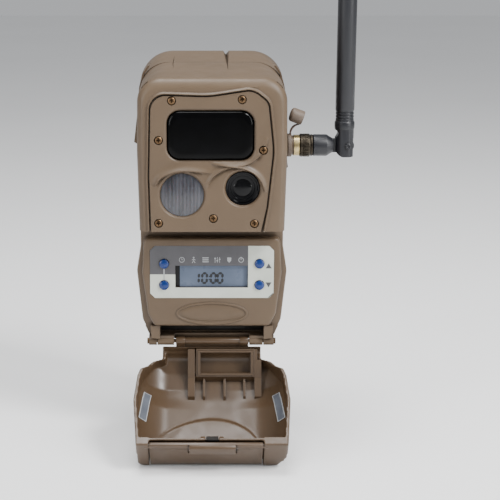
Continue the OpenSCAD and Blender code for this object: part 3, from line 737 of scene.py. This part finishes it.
# ---- front plate ----
def to_line(x, z, line):
    """Distance to a line, its sign (positive on the left of its direction), and how far along it that is."""
    best = (1e9, 0, 0)
    for i in range(len(line) - 1):
        ax, az = line[i]
        bx, bz = line[i + 1]
        dx, dz = bx - ax, bz - az
        t = max(0, min(1, ((x - ax) * dx + (z - az) * dz) / (dx * dx + dz * dz)))
        px, pz = x - ax - dx * t, z - az - dz * t
        d = math.hypot(px, pz)
        if d < best[0]:
            best = (d, 1 if dx * pz - dz * px > 0 else -1, (i + t) / (len(line) - 1))
    return best


def spline(points, steps=6):
    """A smooth line through a few points."""
    out = []
    for i in range(len(points) - 1):
        p0 = points[max(0, i - 1)]
        p1, p2 = points[i], points[i + 1]
        p3 = points[min(len(points) - 1, i + 2)]
        for k in range(steps):
            t = k / steps
            out.append(tuple(0.5 * (2 * b + (c - a) * t + (2 * a - 5 * b + 4 * c - d) * t * t
                + (3 * b - a - 3 * c + d) * t ** 3) for a, b, c, d in zip(p0, p1, p2, p3)))
    out.append(points[-1])
    return out


PIR_BROW = spline([(-34.2, 14.5), (-32, 18.4), (-28.4, 21.2), (-21.4, 23.6), (-13.9, 24), (-6.4, 23.2),
    (1.6, 22.2)])
LENS_BROW = spline([(-0.5, 28.4), (6, 27.2), (12.4, 26.4), (19, 25.4), (25, 22.4), (29.4, 17.4), (32, 10.8)])
SWEEP = spline([(-3.6, 13.6), (-2, 17.4), (0.6, 20.6), (5.6, 24.2), (12.4, 26.6), (19.9, 27.6), (25.9, 31),
    (30.6, 37), (33, 44)])


def fade(t, start=0.2, end=0.2):
    return max(0, min(1, t / start)) ** 0.7 * max(0, min(1, (1 - t) / end)) ** 0.7


def lip(x, z, line, height, width, start, end):
    """A raised lip: a quick rise on the low side of the line and a long fall on its high side."""
    d, side, t = to_line(x, z, line)
    if d > width * 4:
        return 0
    power = height * fade(t, start, end)
    if side > 0:
        return power * math.exp(-(d / width) ** 1.5)
    return power * (1.4 * max(0, 1 - (d / 0.7) ** 2) - 0.4 * math.exp(-(d / 1.6) ** 2))


def plate_height(x, z):
    """How far the front plate's face stands out from its plane, in millimetres."""
    lips = [lip(x, z, PIR_BROW, 2.3, 2.0, 0.15, 0.4), lip(x, z, LENS_BROW, 2.5, 1.9, 0.3, 0.25),
        lip(x, z, SWEEP, 1.9, 1.5, 0.3, 0.25)]
    h = max(lips) if max(lips) > 0 else min(lips)
    for (cx, cz), r, wide in ((PIR, PIR_R, 1.5), (LENS, LENS_R, 1.7)):
        away = math.hypot(x - cx, z - cz) - r
        if away < wide:
            h -= 1.7 * (1 - max(0, away) / wide) ** 2
    dx = max(WINDOW_LOW[0] + 8 - x, 0, x - WINDOW_HIGH[0] + 8)
    dz = max(WINDOW_LOW[1] + 8 - z, 0, z - WINDOW_HIGH[1] + 8)
    away = math.hypot(dx, dz) - 8
    if away < 1.6:
        h -= 1.1 * (1 - max(0, away) / 1.6) ** 2
    return h


def make_front_plate():
    """A fine grid for the face, with its relief, closed by a flat back."""
    low, high = (-39.0, -14.0), (38.0, 73.5)
    step = 0.42
    nx = int((high[0] - low[0]) / step) + 1
    nz = int((high[1] - low[1]) / step) + 1
    xs = [low[0] + i * step for i in range(nx)]
    zs = [low[1] + j * step for j in range(nz)]
    verts = [(x, PLATE_Y - plate_height(x, z), z) for z in zs for x in xs]
    verts += [(x, PLATE_BACK, z) for z in (zs[0], zs[-1]) for x in (xs[0], xs[-1])]
    faces = []
    for j in range(nz - 1):
        for i in range(nx - 1):
            a = j * nx + i
            faces.append((a, a + 1, a + nx + 1, a + nx))
    base = nx * nz
    corners = [base, base + 1, base + 3, base + 2]
    faces.append(tuple(reversed(corners)))
    border = grid_rim(nx, nz) + [0]
    ends = (0, nx - 1, nx + nz - 2, 2 * nx + nz - 3, len(border) - 1)
    for k in range(4):
        faces.append((*border[ends[k]:ends[k + 1] + 1], corners[(k + 1) % 4], corners[k]))
    plate = clean(new_object("front_cover", verts, faces))
    trim(plate, prism_y("trim", plate_outline(0.62), *THROUGH_PLATE))
    low = (WINDOW_LOW[0] - 0.1, WINDOW_LOW[1] - 0.1)
    high = (WINDOW_HIGH[0] + 0.1, WINDOW_HIGH[1] + 0.1)
    tools = [prism_y("window_hole", box_outline(low, high, 7.9, 12), *THROUGH_PLATE)]
    for centre, radius in ((PIR, PIR_R), (LENS, LENS_R)):
        tools.append(prism_y("hole", disc_outline(centre, radius, 96), *THROUGH_PLATE))
    seat = PLATE_BACK - PLATE_Y - 1.1
    bore = [(-3, 1.35), (seat, 1.35), (seat, 2.65), (2.2, 2.65), (2.5, 2.95), (6, 2.95)]
    tools += [spun("counterbore", bore, (x, PLATE_BACK, z), AHEAD, 40) for x, z in PLATE_SCREWS]
    cut(plate, *tools)
    return piece(plate, "tan_plastic", ["front_plate"], 38)


make_front_plate()


# ---- windows ----
def make_ir_window():
    rings = []
    for inset, y in ((-1.5, -75), (-1.5, PLATE_BACK + 0.02), (0.06, PLATE_BACK), (0.06, -77.3),
            (0.25, -78.1), (0.7, -78.8), (1.3, -79.3), (2.1, -79.62), (3.0, -79.77), (4.2, -79.8)):
        low = (WINDOW_LOW[0] + inset, WINDOW_LOW[1] + inset)
        high = (WINDOW_HIGH[0] - inset, WINDOW_HIGH[1] - inset)
        rings.append(at(y, box_outline(low, high, max(3, 7.8 - inset * 0.6), 12)))
    return piece(loft("ir_pane", rings), "black_gloss", ["ir_window"], 40)


def make_pir():
    """The milky dome, with upright ribs."""
    rings, steps, centre_y, back_y = 26, 96, -78.9, -75.4
    full = PIR_R - 0.15
    turns = circle(steps)
    verts = [(PIR[0], centre_y, PIR[1])]
    for k in range(1, rings + 1):
        r = full * k / rings
        for across, up in turns:
            dome = 1.5 * (r / full) ** 2
            rib = 0.1 * math.cos(TURN * r * across / 2.2) * (1 - (r / full) ** 6)
            verts.append((PIR[0] + r * across, centre_y + dome + rib, PIR[1] + r * up))
    back = len(verts)
    verts += [(PIR[0] + full * across, back_y, PIR[1] + full * up) for across, up in turns]
    faces = [(0, 1 + (i + 1) % steps, 1 + i) for i in range(steps)]
    for a in range(1, back, steps):
        for i in range(steps):
            j = (i + 1) % steps
            faces.append((a + i, a + j, a + steps + j, a + steps + i))
    faces.append(tuple(back + i for i in range(steps)))
    return piece(clean(new_object("pir_dome", verts, faces)), "fresnel", ["pir_lens"], 40)


make_ir_window()
make_pir()

# ---- door: built closed, as (across, forward of the hinge, up from the hinge), then swung open ----
def prism_x(name, profile, left, right):
    """A side-view outline, given as (forward, up) points, filled between two distances along X."""
    return loft(name, [[(x, -p[0], p[1]) for p in profile] for x in (left, right)])


def door_outline(d):
    side = [(-31.3 + d, -6, 0), (-31.3 + d, 8.6, 1.2), (-38.6 + d, 10.6, 9), (-46.4 + d, 24, 18),
        (-48.5 + d, 44, 20), (-47.2 + d, 60, 20), (-46 + d, DOOR_TOP - d, 1.0)]
    return rounded(mirrored(side), 10)


def door_chin(d):
    return rounded([(-1, 1 + d, 0), (12.5, 2.2 + d, 7), (22 - d, 13.5 + d, 10), (DOOR_DEPTH - d, 30, 14),
        (DOOR_DEPTH - d, 90, 0), (-1, 90, 0)], 10)


def door_section(d):
    return rounded(mirrored([(-48.6 + d, 1, 0), (-47.5 + d, -9.5 + d / 2, 10),
        (-36.7 + d, -DOOR_DEPTH + d, 9)]), 12)


def bowl(name, d):
    body = prism_y(name, door_outline(d), 1, -DOOR_DEPTH - 1)
    trim(body, prism_x(name + "_chin", door_chin(d), -60, 60))
    section = loft(name + "_section", [[(p.x, p.y, z) for p in door_section(d)] for z in (-10, 90)])
    return trim(body, section)


def soften(obj, voxel, rounds):
    """Rounds every edge a little, as a moulding's are, by remeshing and relaxing."""
    mod = obj.modifiers.new("remesh", "REMESH")
    mod.mode = "VOXEL"
    mod.voxel_size = voxel * MM
    mod.adaptivity = 0.0
    relax = obj.modifiers.new("relax", "SMOOTH")
    relax.factor = 0.5
    relax.iterations = rounds
    apply_modifiers(obj)


def swing(obj):
    turn = Matrix.Rotation(DOOR_OPEN, 4, "X")
    obj.data.transform(Matrix.Translation(Vector((0, HINGE_Y, HINGE_Z)) * MM) @ turn)
    return obj


SOFT_BEND = 1.6
MOON = (-3.0, 72.0)
MOON_SIZE = (34.5, 27.5)


def soft_ramp(run):
    """0 before a bend and a straight slope after it, with a soft bend between."""
    return SOFT_BEND * math.log(1 + math.exp(min(30, run / SOFT_BEND)))


def floor_rise(x, up):
    """How far the door's floor stands up: it bends towards both sides, and has a low half-moon step."""
    rise = 0
    for start, end in (((1.5, 24), (-32.6, 72)), ((5.5, 24), (28.5, 72))):
        slope = (end[0] - start[0]) / (end[1] - start[1])
        side = (start[0] + slope * (up - start[1]) - x) * (1 if end[0] < start[0] else -1)
        lower = max(0, min(1, (up - 24) / 14))
        rise += 0.17 * lower * soft_ramp(side)
    rise += 0.034 * max(0, abs(x) - 27) ** 2 + 0.26 * soft_ramp(31 - up)
    across = (x - MOON[0]) / MOON_SIZE[0]
    depth = (MOON[1] - up) / (MOON_SIZE[1] * (1 + 0.1 * across))
    inside_moon = 1 - math.hypot(across, depth)
    return rise + 1.2 * max(0, min(1, inside_moon / 0.035))


def relief(name, across, up, low, high, lean=0):
    """A solid skin over the door's floor, between two heights above it. lean slants its sides."""
    nx, nu = len(across), len(up)
    spots = [(x + lean * (u - up[0]), u) for u in up for x in across]
    verts = [(x, DOOR_FLOOR_Y + floor_rise(x, u) + height, u) for height in (high, low) for x, u in spots]
    layer = nx * nu
    faces = []
    for j in range(nu - 1):
        for i in range(nx - 1):
            a = j * nx + i
            faces.append((a, a + nx, a + nx + 1, a + 1))
            faces.append((layer + a, layer + a + 1, layer + a + nx + 1, layer + a + nx))
    border = grid_rim(nx, nu)
    for k, a in enumerate(border):
        b = border[(k + 1) % len(border)]
        faces.append((a, b, layer + b, layer + a))
    return clean(new_object(name, verts, faces))


def make_door():
    door = bowl("door_cover", 0)
    end = prism_y("far_end", door_outline(0), 0, -DOOR_DEPTH)
    trim(end, block("end_slab", (-60, -DOOR_DEPTH - 1, 70.5), (60, 1, 90)))
    square = rounded(mirrored([(-46, 1, 0), (-45.4, -DOOR_DEPTH, 4)]), 10)
    trim(end, loft("end_section", [[(p.x, p.y, z) for p in square] for z in (60, 90)]))
    fuse(door, end)
    cut(door, bowl("door_space", DOOR_WALL))
    fuse(door, trim(relief("door_floor", range(-48, 49), range(6, 74), -0.9, 0), bowl("floor_room", 1.2)))
    cut(door, prism_x("rim_step", [(-2, 3.4), (7.6, 3.4), (7.6, 14), (0, 21), (-2, 21)], -60, 60))
    cut(door, block("front_trim", (-60, 0, -10), (60, 5, 100)))
    cut(door, spun("knuckle_room", [(0, 4.2), (120, 4.2)], (-60, 0, 0), SIDEWAYS, 40))
    cut(door, prism_x("bar_seat", [(-1, 73.3), (-0.5, 72.8), (26, 70.6), (26, 80), (-1, 80)],
        BAR_LEFT - BAR_GAP, BAR_RIGHT + BAR_GAP))
    corner = [(39.6, -26), (47.2, -13), (52, -13), (52, -26)]
    cut(door, loft("ear_corner", [[(x, y, z) for x, y in corner] for z in (66, 86)]))
    wall = [(0, 72.7), (24, 70.7), (24, 68.5), (0, 71.3)]
    fuse(door, prism_x("far_wall", wall, BAR_LEFT - 1, BAR_RIGHT + 1))
    for low, high in ((-44.2, BAR_LEFT - BAR_GAP), (BAR_RIGHT + BAR_GAP, 44.2)):
        fuse(door, block("ear", (low, -20, 70.5), (high, 0, DOOR_TOP - 0.2)))
    for x in (-5.4, 5.6):
        post = [(0.6, 71.6), (0.6, 69.5), (7.8, 69.4), (11, 66), (22.6, 66), (22.6, 69.5), (11, 70.2)]
        fuse(door, prism_x("post", post, x - 1.7, x + 1.7))
    cut(door, block("hook_slot", (-4, -3.6, 66), (4.2, 1, 74)))
    soften(door, 0.62, 4)
    arms = []
    for x in (-22.7, 17.6):
        arm = prism_x("arm", [(0, -2.6), (9, -0.4), (9, 3.2), (2, 2.4), (0, 2.4)], x, x + 5.6)
        arms.append((x, fuse(arm, spun("arm_eye", [(0, 2.7), (5.6, 2.7)], (x, 0, 0), SIDEWAYS, 40))))
    arms.append((-24, spun("tube", [(0, 2.3), (34.9, 2.3)], (-17.2, 0, 0), SIDEWAYS, 40)))
    for x, arm in arms:
        cut(arm, spun("pin_hole", [(-1, 1.25), (40, 1.25)], (x, 0, 0), SIDEWAYS, 32))
        bevel(arm, 0.25)
        fuse(door, arm)
    fuse(door, prism_x("web", [(1.9, -1.5), (9, 0.8), (9, 3.2), (5.5, 2.6), (2.1, 1.4)], -17.2, 17.7))
    swing(door)
    return piece(door, "dark_tan_plastic", ["door_shell"], 50, body="door")


make_door()


def make_latch_bar():
    """The bar across the door's far end, with its finger tab set off by a groove."""
    side_view = [(0.9, 73.8), (0.9, 75.9), (1.3, 76.3), (23.2, 76.1), (24.3, 75.6), (24.6, 74.6),
        (24.6, 73.4), (24.2, 73.0), (22, 73.4)]
    bar = prism_x("latch_cover", side_view, BAR_LEFT + 0.05, BAR_RIGHT - 0.05)
    bevel(bar, 0.3)
    groove = prism_x("tab_shadow", [(0.5, 75.7), (0.5, 80), (9.6, 80), (9.6, 75.4)], -14.7, 15.1)
    cut(bar, groove)
    tab = prism_x("tab", [(1.0, 75), (1.0, 77.0), (1.6, 78.0), (2.6, 78.25), (7.2, 78.28), (7.9, 78.0),
        (8.2, 77.2), (8.2, 75)], -13.8, 14.2)
    bevel(tab, 0.25)
    fuse(bar, tab)
    pivot = spun("pivot", [(0, 1.3), (0.25, 1.55), (74.65, 1.55), (74.9, 1.3)],
        (BAR_LEFT - 3.15, -3.2, 74.9), SIDEWAYS, 32)
    fuse(bar, pivot)
    swing(bar)
    return piece(bar, "dark_tan_plastic", ["latch_bar"], 35, body="latch_bar")


def make_slot_shadow_block():
    # A black block set into the hook slot: painted shadow, standing for the dark gap there.
    pad = block("slot_shadow_block", (-3.6, -3.3, 69.6), (3.8, -0.9, 72.3))
    bevel(pad, 0.2)
    swing(pad)
    return piece(pad, "black_plastic", body="door")


def make_stickers():
    """A blank sticker with a pale border on each side wall."""
    for name, height, grow in (("sticker_border", 0.3, 0.45), ("sticker_face", 0.36, 0.0)):
        pair = []
        for side in (-1, 1):
            across = [side * (38.4 - grow + (3.6 + 2 * grow) * k / 12) for k in range(13)]
            up = [32 - grow + (20 + 2 * grow) * k / 16 for k in range(17)]
            pair.append(relief("sticker_side", sorted(across), up, -0.5, height, side * 0.13))
        both = swing(join(*pair))
        both.name = name
        if grow:
            piece(both, "sticker", body="door", material=ink(name, linear(160, 162, 164)))
        else:
            piece(both, "sticker", ["door_stickers"], body="door")


make_latch_bar()
make_slot_shadow_block()
make_stickers()

# ---- control panel ----
def panel_outline(d):
    return rounded(mirrored([(-36.2 + d, -78.6 + d, 3), (-40.2 + d, -70.5, 8), (-43.5 + d, -44, 14),
        (-42.3 + d, -21.5 - d, 3)]), 12)


def label_outline(grow):
    right = [(35.5 + grow, -26.4), (38.5 + grow, -29.4), (38.5 + grow, -56.9), (35.5 + grow, -59.9)]
    return [Vector(p) for p in right + [(-x, z) for x, z in reversed(right)]]


def make_control_panel():
    """The panel under the hood, with a blank oval badge whose rim stands up."""
    rings = [at(y, panel_outline(inset)) for inset, y in ((0.04, FLANGE_Y + 0.02), (0.04, -59.6),
        (0.14, -60.6), (0.45, -61.4), (0.95, -61.85), (1.7, -61.98), (3.4, PANEL_Y + 0.01))]
    panel = loft("panel_case", rings)
    rim = [(22.55, 7.55, -61.8), (22.5, 7.5, -62.35), (22.2, 7.2, -62.56), (21.7, 6.7, -62.59),
        (21.2, 6.2, -62.5), (20.95, 5.95, -62.2), (20.8, 5.8, -62.02), (19.6, 5.1, -62.05),
        (19.2, 4.8, -62.2), (18.4, 4.5, -62.34), (12, 3.0, -62.42), (6, 1.5, -62.45)]
    badge = loft("badge", [[(x, y, z) for x, z in ellipse((0, -70), wide, tall, 96)] for wide, tall,
        y in rim])
    fuse(panel, badge)
    holes = [prism_y("hollow", panel_outline(2.2), FLANGE_Y + 1, PANEL_Y + 2.2),
        prism_y("label_seat", label_outline(0.15), PANEL_Y + 0.3, -70),
        block("display_hole", (LCD_LOW[0], -70, LCD_LOW[1]), (LCD_HIGH[0], -50, LCD_HIGH[1]))]
    holes += [prism_y("button_hole", disc_outline(b, 3.05, 48), *THROUGH_PANEL) for b in BUTTONS]
    holes += [prism_y("led_hole", disc_outline((x, LED_Z), 1.1, 24), *THROUGH_PANEL) for x in LED_X]
    cut(panel, *holes)
    return piece(panel, "tan_plastic", ["control_panel"], 35)


make_control_panel()

# ---- small pieces of the front ----
def make_screws():
    parts = []
    for x, z in PLATE_SCREWS:
        head = spun("screw", [(0, 1.2), (3.6, 1.2), (3.6, 2.4), (4.35, 2.4), (4.75, 2.1), (5.05, 1.5),
            (5.2, 0.7), (5.25, 0.05)], (x, -74.4, z), AHEAD, 40)
        for wide, tall in ((1.45, 0.32), (0.32, 1.45)):
            arm = [(-wide, -tall), (wide, -tall), (wide, tall), (-wide, tall)]
            rings = [[(x + p * k, y, z + q * k) for p, q in arm] for y, k in ((-78.5, 0.45), (-80.5, 1.25))]
            cut(head, loft("cross", rings))
        parts.append(head)
    return piece(join(*parts), "bronze_screw", ["front_plate_screws"], 35)


def make_lens():
    """The camera's window: a dark lens set in stepped rings."""
    profile = [(0, LENS_R + 0.85), (1.55, LENS_R + 0.85), (1.6, LENS_R - 0.1), (2.3, LENS_R - 0.15),
        (2.55, 9.7), (2.3, 9.1), (1.2, 8.7), (1.1, 7.4), (0.5, 7.1), (0.45, 6.2), (0.35, 5.4), (0.62, 4.9),
        (0.95, 4.0), (1.2, 2.7), (1.32, 1.3), (1.36, 0.1)]
    lens = spun("camera_lens", profile, (LENS[0], -75.2, LENS[1]), AHEAD, 96)
    return piece(lens, "dark_glass", ["lens_window"], 25)


LABEL_Y = PANEL_Y - 0.05
INK_BACK = LABEL_Y + 0.03
INK_FRONT = LABEL_Y - 0.04


def printed(name, outline):
    return prism_y(name, outline, INK_BACK, INK_FRONT)


def ribbon(line, width):
    """A printed line."""
    pts = [Vector(p) for p in line]
    return printed("sign", offset(pts, width / 2) + offset(pts, -width / 2)[::-1])


def bar(low, high, front=INK_FRONT):
    return block("sign", (low[0], front, low[1]), (high[0], INK_BACK, high[1]))


def ring_shape(centre, r_out, r_in):
    hole = disc_outline(centre, r_in, 40)
    return cut(printed("sign", disc_outline(centre, r_out, 40)),
        prism_y("hole", hole, INK_BACK + 1, INK_FRONT - 1))


def make_glyphs():
    """Plain signs for the modes, without words: clock, walker, list, sliders, shield and switch."""
    z = -35.3
    clock, walker, lines, sliders, shield, switch = LED_X
    parts = [ring_shape((clock, z), 1.75, 1.4)]
    parts.append(bar((clock - 0.15, z), (clock + 0.15, z + 1.0)))
    parts.append(bar((clock, z - 0.15), (clock + 0.8, z + 0.15)))
    parts.append(printed("sign", disc_outline((walker, z + 1.45), 0.5, 20)))
    limbs = (((0, 0.9), (0, -0.5)), ((0, -0.4), (-0.9, -2)), ((0, -0.4), (0.9, -2)),
        ((-1.1, -0.2), (0, 0.6), (1.1, -0.2)))
    for limb in limbs:
        parts.append(ribbon([(walker + x, z + up) for x, up in limb], 0.42))
    for k in range(3):
        parts.append(bar((lines - 1.9, z - 1.6 + 1.25 * k), (lines + 1.9, z - 0.9 + 1.25 * k)))
    for k, up in enumerate((0.8, -0.6, 0.4)):
        x = sliders - 1.4 + 1.4 * k
        parts.append(bar((x - 0.16, z - 1.8), (x + 0.16, z + 1.7)))
        parts.append(bar((x - 0.55, z + up - 0.3), (x + 0.55, z + up + 0.3), INK_FRONT - 0.01))
    corners = ((-1.3, 1.5, 0.3), (1.3, 1.5, 0.3), (1.2, -0.6, 0.8), (0, -1.9, 0.3), (-1.2, -0.6, 0.8))
    parts.append(printed("sign", rounded([(shield + x, z + up, r) for x, up, r in corners], 4)))
    parts.append(ring_shape((switch, z - 0.1), 1.7, 1.25))
    parts.append(bar((switch - 0.18, z - 0.2), (switch + 0.18, z + 1.9), INK_FRONT - 0.01))
    parts.append(bar((BUTTONS[0][0] - 0.35, -48.4), (BUTTONS[0][0] + 0.35, -41)))
    return piece(join(*parts), "label_film", material=ink("white_ink", linear(150, 152, 154)))


def make_arrows():
    parts = []
    for z, way in ((-39.2, 1), (-51.4, -1)):
        parts.append(printed("arrow", [(33.4, z - 1.6 * way), (37.2, z - 1.6 * way), (35.3, z + 1.7 * way)]))
    parts.append(printed("label_corner", [(-38.2, -29.3), (-35.4, -26.6), (-34.9, -26.6), (-38.2, -29.9)]))
    parts.append(printed("label_corner", [(38.2, -57.1), (35.4, -59.7), (34.9, -59.7), (38.2, -56.5)]))
    return piece(join(*parts), "label_film", material=ink("grey_ink", linear(62, 62, 64)))


SEGMENTS = {"1": "bc", "0": "abcdef"}


def digit(x, z, wide, tall, which):
    """One seven-segment digit, with mitred ends."""
    w, h, t = wide / 2, tall / 2, 1.5
    lines = {"a": ((-w, h), (w, h)), "b": ((w, h), (w, 0)), "c": ((w, 0), (w, -h)),
        "d": ((-w, -h), (w, -h)), "e": ((-w, 0), (-w, -h)), "f": ((-w, h), (-w, 0))}
    parts = []
    for key in SEGMENTS[which]:
        a, b = (Vector(p) for p in lines[key])
        along = (b - a).normalized()
        side = Vector((along.y, -along.x)) * t / 2
        a, b = a + along * 0.12, b - along * 0.12
        half = along * t / 2
        outline = [a, a + half + side, b - half + side, b, b - half - side, a + half - side]
        outline = [p + Vector((x + p.y * 0.04, z)) for p in outline]
        parts.append(prism_y("segment", outline, *DIGIT_DEPTH))
    return parts


def make_digits():
    z, wide, tall = -47.6, 2.9, 6.2
    parts = []
    for x, which in ((-9.6, "1"), (-4.6, "0"), (0.9, "0"), (5.1, "0")):
        parts += digit(x, z, wide, tall, which)
    for up in (1.0, -1.0):
        parts.append(block("dot", (-1.95, DIGIT_DEPTH[1], z + up - 0.35),
            (-1.25, DIGIT_DEPTH[0], z + up + 0.35)))
    return piece(join(*parts), "lcd_glass", material=ink("display_ink", linear(4, 6, 12)))


make_screws()
make_lens()
make_glyphs()
make_arrows()
make_digits()

# ---- antenna ----
ELBOW_X = 83.9
WHIP_X = 82.0
WHIP_TOP = 194.0


def on_jack(name, profile, steps=64):
    """A solid turned about the antenna jack's axis."""
    return spun(name, profile, (0, JACK_Y, JACK_Z), SIDEWAYS, steps)


def make_whip():
    """The whip: a soft-edged knuckle, a wide shoulder, a collar with three grooves, and the long sleeve."""
    whip = copy_of("antenna_whip", "whip_sleeve")
    profile = [(20, 5.86), (28, 5.86), (43.6, 5.86), (44.3, 6.0), (45, 6.2), (47.6, 6.2), (48.6, 6.05),
        (49.1, 5.65)]
    for k in range(3):
        z = 49.6 + 1.9 * k
        profile += [(z, 5.62), (z + 0.9, 5.62), (z + 1.05, 5.3), (z + 1.55, 5.3), (z + 1.7, 5.62)]
    profile += [(55.6, 5.62), (56.0, 5.84), (WHIP_TOP - 4, 5.84), (WHIP_TOP - 3, 5.7), (WHIP_TOP - 1, 4.6),
        (WHIP_TOP - 0.05, 3.7)]
    room = spun("whip_room", profile, (WHIP_X, JACK_Y, 0), (0, 0, 1), 64)
    trim(whip, room)
    turns = [math.pi / 2 * i / 10 for i in range(11)]
    corner = [(70, 20), (81.6, 20)] + [(82.4 - 6.4 * math.sin(a), 33.2 - 6.4 * math.cos(a)) for a in turns]
    corner += [(76, 44), (70, 44)]
    cut(whip, prism_y("knuckle_corner", corner, -30, -60))
    cut(whip, spun("notch_bite", [(0, 2.5), (30, 2.5)], (75.4, -30, 41.4), AHEAD, 40))
    return piece(whip, "antenna_black", ["antenna_whip"], body="antenna_whip")


def make_elbow():
    """The sleeve that the nut turns on, tapering to the tongue of the hinge."""
    elbow = copy_of("antenna_elbow", "elbow_sleeve")
    room = on_jack("elbow_room", [(56, 3), (62.45, 3), (62.5, 6.3), (62.9, 6.75), (70.6, 6.75), (71.2, 6.6),
        (73.4, 5.2), (74.9, 4.5), (75.2, 3.0)])
    tongue = rounded([(72.5, JACK_Z - 4.15, 0), (ELBOW_X + 4.15, JACK_Z - 4.15, 4.1),
        (ELBOW_X + 4.15, JACK_Z + 4.15, 4.1), (72.5, JACK_Z + 4.15, 0)], 12)
    fuse(room, prism_y("tongue_room", tongue, JACK_Y + 1.97, JACK_Y - 1.97))
    trim(elbow, room)
    return piece(elbow, "antenna_black", ["antenna_elbow"], body="antenna_elbow")


def make_pin():
    profile = [(-5.5, 1.4), (-5.3, 1.5), (5.5, 1.5), (5.55, 2.0), (5.95, 1.9), (6.2, 1.5), (6.2, 0.9),
        (5.9, 0.7), (5.85, 0.05)]
    pin = spun("hinge_rivet", profile, (ELBOW_X, JACK_Y, JACK_Z), AHEAD, 40)
    return piece(pin, "antenna_black", ["elbow_pin"], body="antenna_whip")


def make_tether():
    """The cap's ring, tan like the body, and its brown strap."""
    ring = trim(copy_of("cap_tether", "tether_ring"), block("ring_zone", (40, -60, 20), (60, -30, 41.02)))
    room = on_jack("ring_room", [(46.82, 5.9), (46.84, 6.9), (47.1, 7.17), (48.9, 7.17), (49.16, 6.9),
        (49.18, 5.9)])
    trim(ring, room)
    piece(ring, "tan_rubber", ["cap_tether"])
    strap = trim(copy_of("cap_tether", "tether_strap"), block("strap_zone", (40, -60, 40.7), (60, -30, 60)))
    return piece(strap, "brown_rubber", angle=40)


def make_cap():
    profile = [(-4.2, 0.05), (-4.2, 2.6), (-4.0, 3.3), (-3.5, 4.0), (-2.8, 4.35), (-2.0, 4.4), (3.6, 4.4),
        (4.05, 4.25), (4.2, 3.9), (4.2, 3.3), (3.9, 3.2), (-2.0, 3.2), (-2.0, 0.05)]
    tilt = math.radians(110)
    axis = Vector((math.sin(tilt), 0, math.cos(tilt)))
    cap = spun("cap_cover", profile, (52.3, JACK_Y, 52), axis, 64)
    return piece(cap, "tan_rubber", ["dust_cap"], 34, body="dust_cap")


def make_nut():
    """The coupling nut: knurled, with a turned lip at its outer end."""
    nut = copy_of("coupling_nut", "nut_knurl")
    room = on_jack("nut_room", [(54.2, 3), (54.22, 6.6), (54.7, 7.17), (56.0, 7.17), (56.2, 7.0),
        (56.5, 7.17), (60.0, 7.17), (60.5, 6.9), (60.75, 6.6), (61.0, 6.5), (61.3, 6.78), (62.1, 6.78),
        (62.28, 6.5), (62.3, 3)], 96)
    trim(nut, room)
    knurl = []
    for cosine, sine in circle(36):
        c = Vector((0, cosine, sine))
        t = Vector((0, -sine, cosine))
        rings = []
        for x in (56.9, 59.6):
            centre = Vector((x, JACK_Y, JACK_Z))
            corners = ((7.6, 0.42), (7.6, -0.42), (6.85, -0.06), (6.85, 0.06))
            rings.append([centre + c * out + t * along for out, along in corners])
        knurl.append(loft("knurl", rings))
    cut(nut, join(*knurl))
    return piece(nut, "knurled_metal", ["coupling_nut"], 30, body="coupling_nut")


make_whip()
make_elbow()
make_pin()
make_tether()
make_cap()
make_nut()


# ---- camera, light and floor ----
camera = placed("camera", bpy.data.cameras.new("camera"))
camera.data.lens = 93.9
camera.data.sensor_width = 36
camera.data.shift_x = 0.09
camera.location = (-0.0043, -0.8462, 0.1665)
camera.rotation_euler = (math.radians(76), 0, 0)
bpy.context.scene.camera = camera


def area_light(name, place, aim, size, power, tall=0):
    """A soft round light, or an upright strip if it has a height."""
    data = bpy.data.lights.new(name, "AREA")
    data.shape = "RECTANGLE" if tall else "DISK"
    data.size = size
    if tall:
        data.size_y = tall
    data.energy = power
    obj = placed(name, data)
    obj.location = place
    obj.rotation_euler = (Vector(aim) - Vector(place)).to_track_quat("-Z", "Y").to_euler()


area_light("key", (0.7, -0.65, 0.9), (0, 0, 0), 0.4, 19)
area_light("top", (-0.1, -0.15, 1.0), (0, 0, 0), 0.6, 13)
area_light("fill", (-0.9, -0.8, 0.3), (0, 0, 0), 0.7, 1.5)
area_light("right_strip", (0.75, -0.55, 0.26), (0, -0.05, 0.02), 0.12, 4.5, 0.6)
area_light("left_strip", (-0.7, -0.6, 0.24), (0, -0.05, 0.02), 0.1, 2.6, 0.6)
world = bpy.data.worlds.new("studio")
world.use_nodes = True
world.node_tree.nodes["Background"].inputs[0].default_value = (0.95, 0.97, 1.0, 1.0)
world.node_tree.nodes["Background"].inputs[1].default_value = 0.5
bpy.context.scene.world = world

floor = new_object("floor", [(-4000, -4000, 0), (4000, -4000, 0), (4000, 4000, 0), (-4000, 4000, 0)],
    [(0, 1, 2, 3)])
floor.location.z = cad_box[0].z - 0.0004
paper = Shade("paper")
white = paper.mix(paper.noise(3, 3), linear(240, 240, 240), linear(246, 246, 246))
floor.data.materials.append(paper.set(Base_Color=white, Roughness=0.8))
